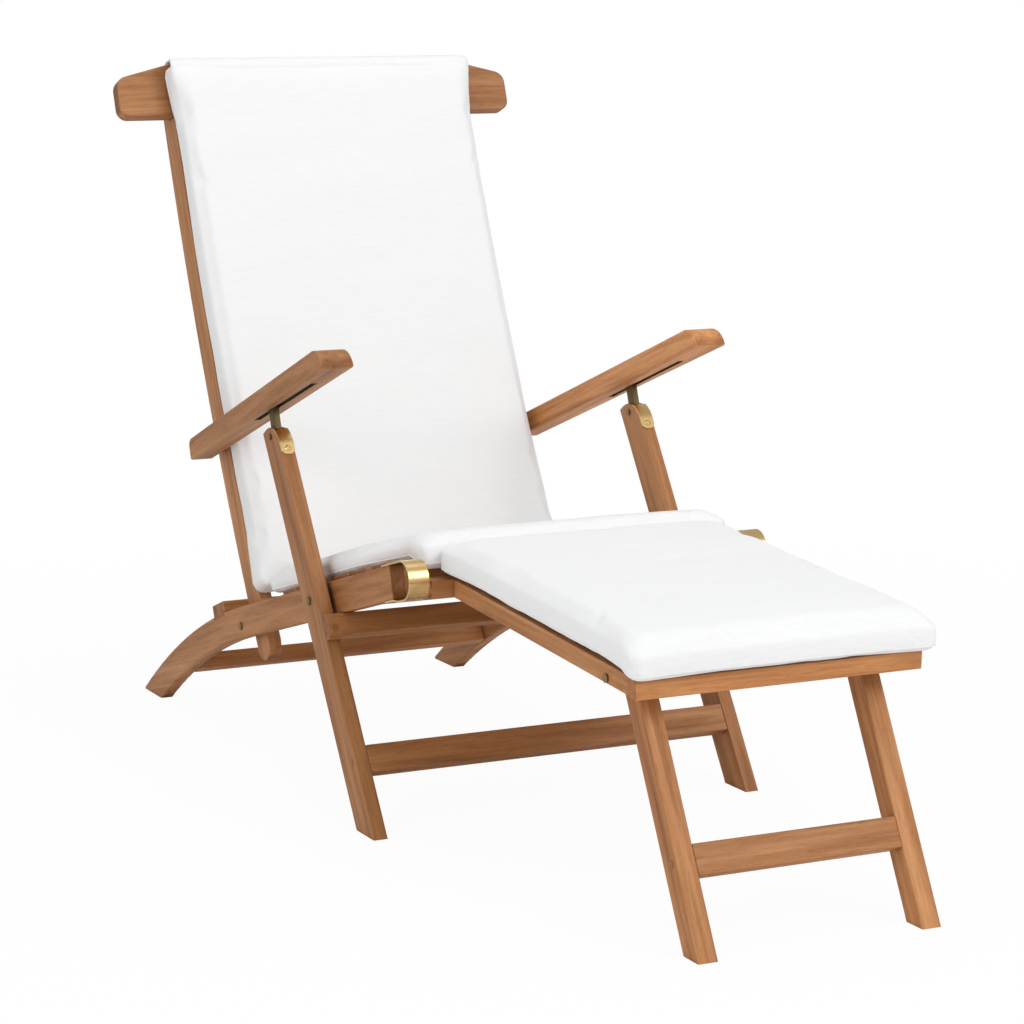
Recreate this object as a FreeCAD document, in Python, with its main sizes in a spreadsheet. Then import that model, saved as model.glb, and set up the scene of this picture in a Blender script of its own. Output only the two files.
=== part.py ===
import FreeCAD, Part
import math
import os
from FreeCAD import Placement, Rotation, Vector

# Folding steamer deck chair in teak with brass fittings and a loose cushion in three panels.
# Millimetres. +Z is up, the sitter faces -Y, and "left" is the -X side.
# The origin is on the floor under the middle of the chair.

os.makedirs("parts", exist_ok=True)
doc = FreeCAD.newDocument("SteamerChair")
sheet = doc.addObject("Spreadsheet::Sheet", "Sizes")

# Driving dimensions: alias, value, what it is
SIZES = [
    ("overall_length", 1520, "front of the footrest's feet to the back of the rear feet"),
    ("overall_width", 600, "crest board, end to end"),
    ("overall_height", 920, "floor to the top of the crest board"),
    ("seat_slope", 15.5, "fall of the seat towards the rear, degrees"),
    ("rail_behind_bar", 26, "middle of the footrest's rear bar to the front end of the seat rails"),
    ("rail_above_bar", 6, "the bar up to the seat rails' centre line at their front end"),
    ("rail_straight", 524, "straight part of a seat rail, before its arch"),
    ("rail_depth", 42, "seat rail, top to bottom"),
    ("rail_thick", 18, "seat rail, side to side"),
    ("rail_outer", 244, "middle of the chair to the outer face of a seat rail"),
    ("edge_round", 1.5, "eased edges of the timber"),
    ("foot_toe", 3, "blunt rear end of the arched leg's foot"),
    ("cross_thick", 20, "front cross rail, front to back"),
    ("rear_rail_width", 44, "rear cross rail, along the arch"),
    ("rear_rail_thick", 20, "rear cross rail"),
    ("rear_rail_behind", 89.44564, "start of the arch to the middle of the rear cross rail"),
    ("rear_rail_let_in", 4, "depth that the rear cross rail is let into the arches"),
    ("rear_stretcher_inward", 30.45178, "outer edge of the arch to the middle of the rear stretcher"),
    ("rear_stretcher_z", 70, "rear stretcher, middle"),
    ("rear_stretcher_high", 23, "rear stretcher"),
    ("rear_stretcher_thick", 20, "rear stretcher"),
    ("seat_slat_width", 48, "seat slat"),
    ("seat_slat_half", 236, "half the length of a seat slat"),
    ("slat_thick", 6, "slats of the seat and the back"),
    ("board_gap", 0.4, "play between boards that only lie side by side"),
    ("seat_slat_count", 6, "seat slats"),
    ("seat_slat_first", 52, "front end of the rails to the middle of the first slat"),
    ("seat_slat_end", 173.78681, "middle of the last seat slat to the backrest's bolt"),
    ("leg_lean", 33.2, "front leg, degrees from upright"),
    ("leg_pivot_along", 208, "front end of the rail to the front leg's bolt, along the rail"),
    ("leg_inner", 250, "middle of the chair to the inner face of a front leg"),
    ("leg_thick", 19, "front leg, side to side"),
    ("leg_width", 46, "front leg, front to back"),
    ("leg_above", 245, "front leg's bolt to the top end"),
    ("leg_top_round", 36, "rounding of the front top corner of a front leg"),
    ("apron_thick", 15, "apron board"),
    ("apron_below", 64.5, "front leg's bolt down to the apron's lower edge"),
    ("apron_long", 538, "apron board, end to end"),
    ("stretcher_high", 35.5, "front stretcher and footrest stretcher"),
    ("stretcher_thick", 20, "front stretcher and footrest stretcher"),
    ("stretcher_drop", 222.3, "front leg's bolt down to the middle of the front stretcher"),
    ("bolt_radius", 4, "pivot bolts"),
    ("bolt_head_radius", 5.2, "heads and nuts of the pivot bolts"),
    ("bolt_head_high", 2.2, "heads and nuts of the pivot bolts"),
    ("washer_radius", 9, "spacing washers"),
    ("running_gap", 0.05, "radial clearance of pivots"),
    ("face_gap", 0.3, "side clearance of washers and sliding pieces"),
    ("cut_over", 2, "holes and notches are cut this much longer than the timber is thick"),
    ("back_pivot_along", 533.78681, "front end of the rails to the backrest's bolt, along the rail"),
    ("back_pivot_below", 5.13857, "the rail's centre line down to the backrest's bolt"),
    ("back_lean", 25.9, "chord of the backrest's rear edge, degrees from upright"),
    ("stile_outer", 222, "middle of the chair to the outer face of a back stile"),
    ("stile_thick", 18, "back stile, side to side"),
    ("stile_depth", 46, "back stile, front to back"),
    ("stile_curve", 4012, "radius of the back stile's rear edge"),
    ("stile_swell", 29.7, "bolt to the rear edge at the middle of the curve"),
    ("stile_middle", 357, "bolt to the middle of the curve, along the chord"),
    ("crest_lap", 55.10324, "lower edge of the crest board to the stile's top end"),
    ("stile_below", 30, "bolt to the start of the stile's rounded lower end"),
    ("crest_high", 80, "crest board at the middle"),
    ("crest_thick", 22, "crest board"),
    ("crest_flat_half", 215, "middle of the crest to the start of its falling ends"),
    ("crest_slope", 14.5, "fall of the crest's ends, degrees"),
    ("crest_shoulder_high", 42, "lower edge of the crest to the start of its upper corners"),
    ("crest_corner", 15, "rounding of the crest's lower corners"),
    ("crest_shoulder", 18, "rounding of the crest's upper corners"),
    ("back_slat_width", 64, "back slat"),
    ("back_slat_count", 7, "back slats"),
    ("back_slat_first", 127, "bolt to the middle of the lowest back slat"),
    ("back_slat_end", 55.89676, "middle of the highest back slat to the lower edge of the crest"),
    ("arm_slope", 19.3, "rise of the armrests towards the front, degrees"),
    ("arm_thick", 29, "armrest, top to bottom"),
    ("arm_pivot_up", 258.22294, "backrest's bolt to the rear pin of the armrests, along the chord"),
    ("arm_pivot_inward", 27.13295, "rear edge of the stile to the rear pin of the armrests"),
    ("arm_behind", 20, "rear pin to the rear end of the armrest"),
    ("arm_top_long", 506, "rear pin to the front end of the armrest's top face"),
    ("arm_nose_long", 534, "rear pin to the front end of the armrest's underside"),
    ("arm_bend_long", 527, "rear pin to the middle of the armrest's rounded nose"),
    ("arm_bend_high", 2.9, "centre line of the armrest up to the middle of its nose"),
    ("arm_inner_front", 238, "middle of the chair to the inner edge at the front"),
    ("arm_inner_rear", 233.5, "middle of the chair to the inner edge at the rear"),
    ("arm_outer_front", 282, "middle of the chair to the outer edge at the front"),
    ("arm_outer_rear", 266, "middle of the chair to the outer edge at the rear"),
    ("arm_rear_round", 12, "rounding of the armrest's rear top corner"),
    ("arm_edge_round", 3, "eased edges of the armrest"),
    ("groove_behind", 65.2919, "arm hinge pin back to the rear end of the groove"),
    ("groove_long", 215, "groove under the armrest"),
    ("groove_wide", 10.6, "groove under the armrest"),
    ("groove_deep", 13.5, "groove under the armrest"),
    ("channel_wall", 1, "brass channel in the groove"),
    ("arm_pin_depth", 27, "hole for the rear pin in the armrest"),
    ("arm_pin_spare", 1, "end of the rear pin to the bottom of its hole"),
    ("hinge_below_top", 15.5, "front leg's top end down to the arm hinge pin"),
    ("hinge_pin_radius", 2.5, "arm hinge pin"),
    ("hinge_head_radius", 4, "heads of the arm hinge pin"),
    ("hinge_head_high", 2, "heads of the arm hinge pin"),
    ("tongue_width", 16, "brass tongue, front to back"),
    ("slot_before_tongue", 5, "tongue to the front end of the slot in the leg's top"),
    ("slot_below_tongue", 1, "tongue to the bottom of the slot"),
    ("tongue_reach", 7, "depth that the tongue reaches into the groove"),
    ("cap_before_slot", 1, "front end of the slot to the start of the brass cap"),
    ("cap_thick", 1.6, "brass cap on the front of the leg's top"),
    ("cap_tail_round", 8, "rounded corners of the cap's tail"),
    ("cap_tail", 16, "tail of the cap on the front of the leg"),
    ("screw_radius", 4, "heads of the brass screws"),
    ("screw_top_radius", 2.4, "flat top of the brass screws"),
    ("screw_high", 1.2, "heads of the brass screws"),
    ("clip_width", 26, "brass loop, from the seat rail's outer face inwards"),
    ("clip_thick", 2, "brass loop"),
    ("clip_tail", 24, "tails of the loop on the rail"),
    ("clip_step", 16, "front end of the rail to the bend in the loop's underside"),
    ("clip_before_bar", 8.54904, "middle of the bar to the middle of the loop's bend"),
    ("foot_bolt_end", 51.88556, "footrest legs' bolts to the back of the front board, along the rails"),
    ("foot_bolt_drop", 4.54384, "the footrest rails' centre line down to the legs' bolts"),
    ("bar_side", 22, "footrest's rear bar, and the depth of its side rails"),
    ("bar_square_half", 207, "middle of the chair to the end of the bar's square part"),
    ("bar_end_half", 230, "middle of the chair to the end of the bar's round end"),
    ("footrest_slope", 3.7, "fall of the footrest towards the front, degrees"),
    ("footrest_outer", 178, "middle of the chair to the footrest rail's outer face"),
    ("footrest_rail_thick", 20, "footrest side rail, side to side"),
    ("footrest_long", 462, "middle of the bar to the back of the front board"),
    ("front_board_deep", 20, "footrest's front board, front to back"),
    ("front_board_half", 180, "half the length of the footrest's front board"),
    ("footrest_slat_width", 44, "footrest slat"),
    ("footrest_slat_half", 170, "half the length of a footrest slat"),
    ("footrest_slat_thick", 6, "footrest slat"),
    ("footrest_slat_count", 6, "footrest slats"),
    ("footrest_slat_first", 40, "middle of the bar to the middle of the first slat"),
    ("footrest_slat_end", 52, "middle of the last slat to the back of the front board"),
    ("foot_leg_lean", 27.4, "footrest leg, degrees from upright"),
    ("foot_leg_width", 30, "footrest leg, front to back"),
    ("foot_leg_thick", 24.4, "footrest leg, side to side"),
    ("foot_leg_outer", 152.4, "middle of the chair to the outer face of a footrest leg"),
    ("foot_pivot_z", 280, "height of the footrest legs' bolts"),
    ("foot_stretcher_drop", 212, "footrest leg's bolt down to the middle of its stretcher"),
    ("cushion_thick", 45, "back cushion panel"),
    ("seat_cushion_thick", 38, "seat cushion panel"),
    ("seat_cushion_droop", 12, "fall of the seat cushion's front end below the top of the slats"),
    ("cushion_crown", 6, "swell of a cushion panel at its middle"),
    ("cushion_side", 8, "bulge of a cushion panel's sides"),
    ("cushion_gap", 0.4, "cushion above its slats"),
    ("back_cushion_half", 230, "half the width of the back cushion panel"),
    ("back_cushion_from", 40, "bolt to the lower end of the back cushion panel"),
    ("back_cushion_over", 62.10324, "lower edge of the crest up to the top of the back cushion"),
    ("seat_cushion_half", 226, "half the width of the seat cushion panel at the rear"),
    ("seat_cushion_front_half", 208, "half its width at the front"),
    ("seat_cushion_from", -26, "front end of the rails to the front of the seat cushion, backwards"),
    ("seat_cushion_end", 105.78681, "rear of the seat cushion to the backrest's bolt"),
    ("footrest_cushion_half", 193, "half the width of the footrest cushion panel"),
    ("footrest_cushion_thick", 41, "footrest cushion panel"),
    ("footrest_cushion_from", -6, "middle of the bar to the rear of the footrest cushion"),
    ("footrest_cushion_over", 37, "back of the front board to the front of the footrest cushion"),
]


class Values:
    pass


v = Values()
for row, (alias, value, note) in enumerate(SIZES, start=1):
    sheet.set("A%d" % row, note)
    sheet.set("B%d" % row, str(value))
    sheet.setAlias("B%d" % row, alias)
doc.recompute()
for alias, value, note in SIZES:
    setattr(v, alias, float(sheet.get(alias)))

# Planes, points and directions in the side view, as (y, z)


def turn(angle):
    """Unit vectors of a piece that leans back by angle: along it, and towards its front."""
    a = math.radians(angle)
    return (math.sin(a), math.cos(a)), (-math.cos(a), math.sin(a))


def at(origin, first, along, second=(0, 0), across=0.0):
    """The point at these distances from the origin along two directions."""
    return (origin[0] + first[0] * along + second[0] * across,
            origin[1] + first[1] * along + second[1] * across)


def lean(angle):
    """Rotation that leans a piece back, towards +Y, by angle."""
    return Rotation(Vector(1, 0, 0), -angle)


def between(first, last, count):
    """Evenly spaced values from first to last."""
    step = (last - first) / max(count - 1, 1)
    return [first + step * i for i in range(int(count))]


PARTS = []
SOLE = 0.01


def keep(piece, label):
    """Name a sub-part and list it for export."""
    piece.Label = label
    PARTS.append(piece)
    return piece


def new_body(label):
    return keep(doc.addObject("PartDesign::Body", label), label)


def origin_plane(body, role):
    return [f for f in body.Origin.OriginFeatures if f.Role == role][0]


def sketch_on(body, edges, role="YZ_Plane"):
    """A sketch of these edges on one of the body's own planes."""
    sketch = body.newObject("Sketcher::SketchObject", body.Name + "_outline")
    sketch.AttachmentSupport = [(origin_plane(body, role), "")]
    sketch.MapMode = "FlatFace"
    for edge in edges:
        sketch.addGeometry(edge, False)
    return sketch


def extrude(body, edges, width, role="YZ_Plane"):
    """Pad the outline by a width from the sheet, to both sides of its plane."""
    pad = body.newObject("PartDesign::Pad", body.Name + "_pad")
    pad.Profile = sketch_on(body, edges, role)
    pad.SideType = "Symmetric"
    pad.setExpression("Length", width)
    doc.recompute()
    return pad


def ease(body, radius="Sizes.edge_round", stands=False):
    """Round every edge of the piece so far, less those of its sole if it stands on the floor."""
    base = body.Tip
    names = []
    for i, edge in enumerate(base.Shape.Edges):
        if not stands or edge.BoundBox.ZMax > SOLE:
            names.append("Edge%d" % (i + 1))
    fillet = body.newObject("PartDesign::Fillet", body.Name + "_eased")
    fillet.Base = (base, names)
    fillet.setExpression("Radius", radius)
    doc.recompute()
    return fillet


def drill(body, point, radius, reach, x=0.0):
    """A round hole along X, centred on x."""
    hole = body.newObject("PartDesign::SubtractiveCylinder", body.Name + "_hole")
    hole.setExpression("Radius", radius)
    hole.Height = reach
    hole.Placement = Placement(Vector(x - reach / 2, point[0], point[1]),
                               Rotation(Vector(0, 0, 1), Vector(1, 0, 0)))
    doc.recompute()


def cut_block(body, middle, size, rotation):
    """Cut a block that is centred on middle, with its three sizes, and turned."""
    cut = body.newObject("PartDesign::SubtractiveBox", body.Name + "_cut")
    cut.Length, cut.Width, cut.Height = size
    half = Vector(-size[0] / 2, -size[1] / 2, -size[2] / 2)
    cut.Placement = Placement(Vector(*middle), rotation).multiply(Placement(half, Rotation()))
    doc.recompute()


def line(a, b):
    return Part.LineSegment(Vector(a[0], a[1], 0), Vector(b[0], b[1], 0))


def arc(a, b, c):
    return Part.Arc(Vector(a[0], a[1], 0), Vector(b[0], b[1], 0), Vector(c[0], c[1], 0))


def outline(points):
    """Straight edges through the points, and back to the first one."""
    return [line(p, q) for p, q in zip(points, points[1:] + points[:1])]


def board(label, length, depth, height, middle, rotation):
    """A board with eased edges: length along X, depth along its own Y, height along its own Z."""
    body = new_body(label)
    box = body.newObject("PartDesign::AdditiveBox", label + "_board")
    box.setExpression("Length", length)
    box.setExpression("Width", depth)
    box.setExpression("Height", height)
    box.setExpression("Placement.Base.x", "-Length / 2")
    box.setExpression("Placement.Base.y", "-Width / 2")
    box.setExpression("Placement.Base.z", "-Height / 2")
    doc.recompute()
    ease(body)
    body.Placement = Placement(Vector(0, middle[0], middle[1]), rotation)
    return body


SIDES = (("left", -1), ("right", 1))

# Points and directions of the footrest, from its feet back to its bar. t runs forward from the
# middle of the bar and n upwards, square to the frame.
up_foot, _ = turn(-v.footrest_slope)
forward_foot = (-up_foot[1], up_foot[0])
foot_half = v.foot_leg_width / 2
foot_pivot_y = (-v.overall_length / 2 + foot_half / math.cos(math.radians(v.foot_leg_lean))
                + v.foot_pivot_z * math.tan(math.radians(v.foot_leg_lean)))
foot_pivot = (foot_pivot_y, v.foot_pivot_z)
bar = at(foot_pivot, forward_foot, v.foot_bolt_end - v.footrest_long, up_foot, v.foot_bolt_drop)

# Points and directions of the seat, from the footrest's bar back to the rear feet
up_seat, forward_seat = turn(v.seat_slope)
back_seat = (-forward_seat[0], -forward_seat[1])
rail_end = (bar[0] + v.rail_behind_bar, bar[1] + v.rail_above_bar)
rail_mid = v.rail_outer - v.rail_thick / 2
rail_inner = v.rail_outer - v.rail_thick
leg_pivot = at(rail_end, back_seat, v.leg_pivot_along)
back_pivot = at(rail_end, back_seat, v.back_pivot_along, up_seat, -v.back_pivot_below)

# Arch of the seat rails: a circle that leaves the straight part smoothly and ends at the rear foot
arch_start = at(rail_end, back_seat, v.rail_straight, up_seat, v.rail_depth / 2)
foot = (v.overall_length / 2, v.foot_toe)
chord = (foot[0] - arch_start[0], foot[1] - arch_start[1])
arch_radius = -(chord[0] ** 2 + chord[1] ** 2) / (2 * (chord[0] * up_seat[0] + chord[1] * up_seat[1]))
arch_centre = at(arch_start, up_seat, -arch_radius)


def on_arch(y, inward=0.0):
    """The point of the arch at this y, inside the outer edge by the distance given."""
    r = arch_radius - inward
    return (y, arch_centre[1] + math.sqrt(r ** 2 - (y - arch_centre[0]) ** 2))


def arch_tilt(y):
    return math.degrees(math.asin((y - arch_centre[0]) / arch_radius))


def arch_at_height(z, inward):
    """The y of the arch at this height, inside the outer edge by the distance given."""
    r = arch_radius - inward
    return arch_centre[0] + math.sqrt(r ** 2 - (z - arch_centre[1]) ** 2)


foot_front = arch_at_height(0, v.rail_depth)
arch_inner_start = at(arch_start, up_seat, -v.rail_depth)
rear_rail_y = arch_start[0] + v.rear_rail_behind
rear_rail_tilt = arch_tilt(rear_rail_y)
up_rear, _ = turn(rear_rail_tilt)
rear_rail_middle = at(on_arch(rear_rail_y), up_rear, v.rear_rail_thick / 2 - v.rear_rail_let_in)


def seat_rail(label, side):
    """Seat rail and arched rear leg in one piece."""
    top_front = at(rail_end, up_seat, v.rail_depth / 2)
    low_front = at(rail_end, up_seat, -v.rail_depth / 2)
    half_way = (arch_start[0] + foot[0]) / 2
    inner_half_way = (arch_inner_start[0] + foot_front) / 2
    body = new_body(label)
    extrude(body, [
        line(top_front, arch_start),
        arc(arch_start, on_arch(half_way), foot),
        line(foot, (foot[0], 0)),
        line((foot[0], 0), (foot_front, 0)),
        arc((foot_front, 0), on_arch(inner_half_way, v.rail_depth), arch_inner_start),
        line(arch_inner_start, low_front),
        line(low_front, top_front),
    ], "Sizes.rail_thick")
    ease(body, stands=True)
    cut_block(body, (0, rear_rail_middle[0], rear_rail_middle[1]),
              (v.rail_thick + v.cut_over, v.rear_rail_width, v.rear_rail_thick), lean(rear_rail_tilt))
    drill(body, leg_pivot, "Sizes.bolt_radius + Sizes.running_gap", v.rail_thick + v.cut_over)
    drill(body, back_pivot, "Sizes.bolt_radius + Sizes.running_gap", v.rail_thick + v.cut_over)
    body.Placement = Placement(Vector(side * rail_mid, 0, 0), Rotation())


for name, side in SIDES:
    seat_rail(name + "_seat_rail", side)

board("front_cross_rail", "2 * (Sizes.rail_outer - Sizes.rail_thick)", "Sizes.cross_thick",
      "Sizes.rail_depth", at(rail_end, back_seat, v.cross_thick / 2), lean(v.seat_slope))
board("rear_cross_rail", "2 * Sizes.rail_outer", "Sizes.rear_rail_width",
      "Sizes.rear_rail_thick", rear_rail_middle, lean(rear_rail_tilt))
rear_stretcher_y = arch_at_height(v.rear_stretcher_z, v.rear_stretcher_inward)
board("rear_stretcher", "2 * (Sizes.rail_outer - Sizes.rail_thick)", "Sizes.rear_stretcher_thick",
      "Sizes.rear_stretcher_high", (rear_stretcher_y, v.rear_stretcher_z),
      lean(arch_tilt(rear_stretcher_y)))

slat_rise = v.rail_depth / 2 + v.slat_thick / 2
seat_slat_last = v.back_pivot_along - v.seat_slat_end
for i, along in enumerate(between(v.seat_slat_first, seat_slat_last, v.seat_slat_count)):
    board("seat_slat_%d" % (i + 1), "2 * Sizes.seat_slat_half", "Sizes.seat_slat_width",
          "Sizes.slat_thick", at(rail_end, back_seat, along, up_seat, slat_rise),
          lean(v.seat_slope))

# Front legs. In a leg's own view, s runs up the leg from the bolt and p towards its front.
up_leg, front_leg = turn(v.leg_lean)
leg_mid = v.leg_inner + v.leg_thick / 2
hinge_s = v.leg_above - v.hinge_below_top


def on_leg(s, p):
    return at(leg_pivot, up_leg, s, front_leg, p)


def leg_foot(p):
    """Distance down the leg to the floor, on the line at p."""
    return -(leg_pivot[1] + front_leg[1] * p) / up_leg[1]


hinge = on_leg(hinge_s, 0)
tongue_thick = v.groove_wide - 2 * v.channel_wall - 2 * v.face_gap
leg_slot = (tongue_thick + 2 * v.face_gap, v.leg_width / 2 + v.tongue_width, 2 * v.hinge_below_top)
leg_slot_front = v.tongue_width / 2 + v.slot_before_tongue
slot_bottom = hinge_s - v.tongue_width / 2 - v.slot_below_tongue
slot_middle = on_leg(slot_bottom + leg_slot[2] / 2, leg_slot_front - leg_slot[1] / 2)


def corner_arc(radius):
    """Arc of the leg's front top corner at this radius, from the top to the front."""
    s0 = v.leg_above - v.leg_top_round
    p0 = v.leg_width / 2 - v.leg_top_round
    d = radius * math.sqrt(0.5)
    return on_leg(s0 + radius, p0), on_leg(s0 + d, p0 + d), on_leg(s0, p0 + radius)


def front_leg_piece(label, side):
    half = v.leg_width / 2
    top_back = on_leg(v.leg_above, -half)
    arc_top, arc_half, arc_front = corner_arc(v.leg_top_round)
    foot_front_point = on_leg(leg_foot(half), half)
    foot_back_point = on_leg(leg_foot(-half), -half)
    body = new_body(label)
    extrude(body, [
        line(top_back, arc_top),
        arc(arc_top, arc_half, arc_front),
        line(arc_front, foot_front_point),
        line(foot_front_point, foot_back_point),
        line(foot_back_point, top_back),
    ], "Sizes.leg_thick")
    ease(body, stands=True)
    cut_block(body, (0, slot_middle[0], slot_middle[1]), leg_slot, lean(v.leg_lean))
    drill(body, leg_pivot, "Sizes.bolt_radius + Sizes.running_gap", v.leg_thick + v.cut_over)
    drill(body, hinge, "Sizes.hinge_pin_radius + Sizes.running_gap", v.leg_thick + v.cut_over)
    body.Placement = Placement(Vector(side * leg_mid, 0, 0), Rotation())


def cap_arc(radius, share):
    """Point on the rounded corner: 0 at the cap's upper end, 1 at the front face."""
    s0 = v.leg_above - v.leg_top_round
    p0 = v.leg_width / 2 - v.leg_top_round
    first = math.asin((leg_slot_front + v.cap_before_slot - p0) / v.leg_top_round)
    angle = first + (math.pi / 2 - first) * share
    return on_leg(s0 + radius * math.cos(angle), p0 + radius * math.sin(angle))


def leg_cap(label, side):
    """Brass strap bent over the front top corner of the leg, with a rounded tail below."""
    inner = v.leg_top_round
    outer = inner + v.cap_thick
    tail_s = v.leg_above - v.leg_top_round - v.cap_tail
    tail_in = on_leg(tail_s, v.leg_width / 2)
    tail_out = on_leg(tail_s, v.leg_width / 2 + v.cap_thick)
    body = new_body(label)
    extrude(body, [
        arc(cap_arc(inner, 0), cap_arc(inner, 0.5), cap_arc(inner, 1)),
        line(cap_arc(inner, 1), tail_in),
        line(tail_in, tail_out),
        line(tail_out, cap_arc(outer, 1)),
        arc(cap_arc(outer, 1), cap_arc(outer, 0.5), cap_arc(outer, 0)),
        line(cap_arc(outer, 0), cap_arc(inner, 0)),
    ], "Sizes.leg_thick")
    base = body.Tip
    low = v.cap_thick / 2
    corners = ["Edge%d" % (i + 1) for i, edge in enumerate(base.Shape.Edges)
               if abs(edge.Length - v.cap_thick) < SOLE
               and abs(edge.CenterOfMass.y - at(tail_in, front_leg, low)[0]) < SOLE]
    fillet = body.newObject("PartDesign::Fillet", label + "_tail")
    fillet.Base = (base, corners)
    fillet.setExpression("Radius", "Sizes.cap_tail_round")
    doc.recompute()
    body.Placement = Placement(Vector(side * leg_mid, 0, 0), Rotation())


for name, side in SIDES:
    front_leg_piece(name + "_front_leg", side)
for name, side in SIDES:
    leg_cap(name + "_leg_cap", side)


def apron_top(p):
    """Distance up the leg of the rails' underside, less the play, on the line at p."""
    drop = v.rail_depth / 2 + v.board_gap
    slant = up_leg[0] * up_seat[0] + up_leg[1] * up_seat[1]
    skew = front_leg[0] * up_seat[0] + front_leg[1] * up_seat[1]
    return -(drop + skew * p) / slant


def apron_board():
    """Board across the fronts of the legs, with its top planed to pass under the rails."""
    back = v.leg_width / 2
    front = back + v.apron_thick
    body = new_body("apron_board")
    extrude(body, outline([on_leg(-v.apron_below, back), on_leg(-v.apron_below, front),
                           on_leg(apron_top(front), front), on_leg(apron_top(back), back)]),
            "Sizes.apron_long")
    ease(body)


apron_board()
board("front_stretcher", "2 * Sizes.leg_inner", "Sizes.stretcher_thick", "Sizes.stretcher_high",
      on_leg(-v.stretcher_drop, v.leg_width / 2 - v.stretcher_thick / 2), lean(v.leg_lean))

# Backrest. s runs up the chord from the bolt and d towards the rear.
up_back, front_back = turn(v.back_lean)
rear_back = (-front_back[0], -front_back[1])
stile_mid = v.stile_outer - v.stile_thick / 2
curve_centre = (v.stile_middle, v.stile_swell - v.stile_curve)


def on_back(s, inward=0.0):
    """The point of the stile's curve at height s, forward of the rear edge by inward."""
    r = v.stile_curve - inward
    d = curve_centre[1] + math.sqrt(r ** 2 - (s - curve_centre[0]) ** 2)
    return at(back_pivot, up_back, s, rear_back, d)


def back_tilt(s, inward=0.0):
    """Lean of the backrest's surface at height s, degrees from upright."""
    return v.back_lean - math.degrees(math.asin((s - v.stile_middle) / (v.stile_curve - inward)))


arm_pivot = on_back(v.arm_pivot_up, v.arm_pivot_inward)

# The crest board stands in a notch at the front of the stiles, with its top at the full height:
# each round brings its lower edge nearer to the place that does this
CREST_ROUNDS = 60
crest_s = v.stile_middle
for _ in range(CREST_ROUNDS):
    stile_above = crest_s + v.crest_lap
    crest_lean = back_tilt(stile_above, v.stile_depth)
    up_crest, front_crest = turn(crest_lean)
    crest_round_off = v.arm_edge_round * (up_crest[0] + up_crest[1] - 1)
    crest_foot_z = v.overall_height + crest_round_off - v.crest_high * up_crest[1]
    crest_s += (crest_foot_z - on_back(crest_s, v.stile_depth)[1]) / up_back[1]
stile_above = crest_s + v.crest_lap
crest_foot = on_back(crest_s, v.stile_depth)
crest_back_foot = at(crest_foot, front_crest, -v.crest_thick)
crest_back_top = at(crest_back_foot, up_crest, v.crest_lap)


def back_stile(label, side):
    low_rear = on_back(-v.stile_below)
    low_front = on_back(-v.stile_below, v.stile_depth)
    centre_low = ((low_rear[0] + low_front[0]) / 2, (low_rear[1] + low_front[1]) / 2)
    low_tilt = turn(back_tilt(-v.stile_below))[0]
    tip = at(centre_low, low_tilt, -v.stile_depth / 2)
    top_rear = on_back(stile_above)
    half_way = (stile_above - v.stile_below) / 2
    front_half_way = (crest_s - v.stile_below) / 2
    body = new_body(label)
    extrude(body, [
        arc(low_rear, on_back(half_way), top_rear),
        line(top_rear, crest_back_top),
        line(crest_back_top, crest_back_foot),
        line(crest_back_foot, crest_foot),
        arc(crest_foot, on_back(front_half_way, v.stile_depth), low_front),
        arc(low_front, tip, low_rear),
    ], "Sizes.stile_thick")
    ease(body)
    drill(body, back_pivot, "Sizes.bolt_radius + Sizes.running_gap", v.stile_thick + v.cut_over)
    drill(body, arm_pivot, "Sizes.bolt_radius + Sizes.running_gap", v.stile_thick + v.cut_over)
    body.Placement = Placement(Vector(side * stile_mid, 0, 0), Rotation())


for name, side in SIDES:
    back_stile(name + "_back_stile", side)


def mirrored(point):
    return (-point[0], point[1])


def crest_board():
    """Crest board with a nearly level top and falling, rounded ends, drawn in its own plane."""
    half = v.overall_width / 2
    c = v.crest_corner
    b = c * (1 - math.sqrt(0.5))
    low_in, low_mid, low_out = (half - c, 0), (half - b, b), (half, c)
    centre = (half - v.crest_shoulder, v.crest_shoulder_high)
    side = (half, v.crest_shoulder_high)
    slope = math.radians(v.crest_slope)
    end_angle = math.pi / 2 - slope
    bend_mid, bend_end = [
        (centre[0] + v.crest_shoulder * math.cos(angle), centre[1] + v.crest_shoulder * math.sin(angle))
        for angle in (end_angle / 2, end_angle)]
    flat_high = bend_end[1] + (bend_end[0] - v.crest_flat_half) * math.tan(slope)
    flat = (v.crest_flat_half, flat_high)
    body = new_body("crest_board")
    extrude(body, [
        line(mirrored(low_in), low_in),
        arc(low_in, low_mid, low_out),
        line(low_out, side),
        arc(side, bend_mid, bend_end),
        line(bend_end, flat),
        arc(flat, (0, v.crest_high), mirrored(flat)),
        line(mirrored(flat), mirrored(bend_end)),
        arc(mirrored(bend_end), mirrored(bend_mid), mirrored(side)),
        line(mirrored(side), mirrored(low_out)),
        arc(mirrored(low_out), mirrored(low_mid), mirrored(low_in)),
    ], "Sizes.crest_thick", "XZ_Plane")
    ease(body, "Sizes.arm_edge_round")
    middle = at(crest_foot, front_crest, -v.crest_thick / 2)
    body.Placement = Placement(Vector(0, middle[0], middle[1]), lean(crest_lean))


crest_board()

back_slat_places = between(v.back_slat_first, crest_s - v.back_slat_end, v.back_slat_count)
for i, s in enumerate(back_slat_places):
    # The slat's edges rest on the hollow front of the stiles, so its middle stands off by the sag
    sag = v.back_slat_width ** 2 / (8 * (v.stile_curve - v.stile_depth))
    stand_off = v.stile_depth + sag + v.slat_thick / 2
    board("back_slat_%d" % (i + 1), "2 * Sizes.stile_outer", "Sizes.slat_thick",
          "Sizes.back_slat_width", on_back(s, stand_off), lean(back_tilt(s, stand_off)))

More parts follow.
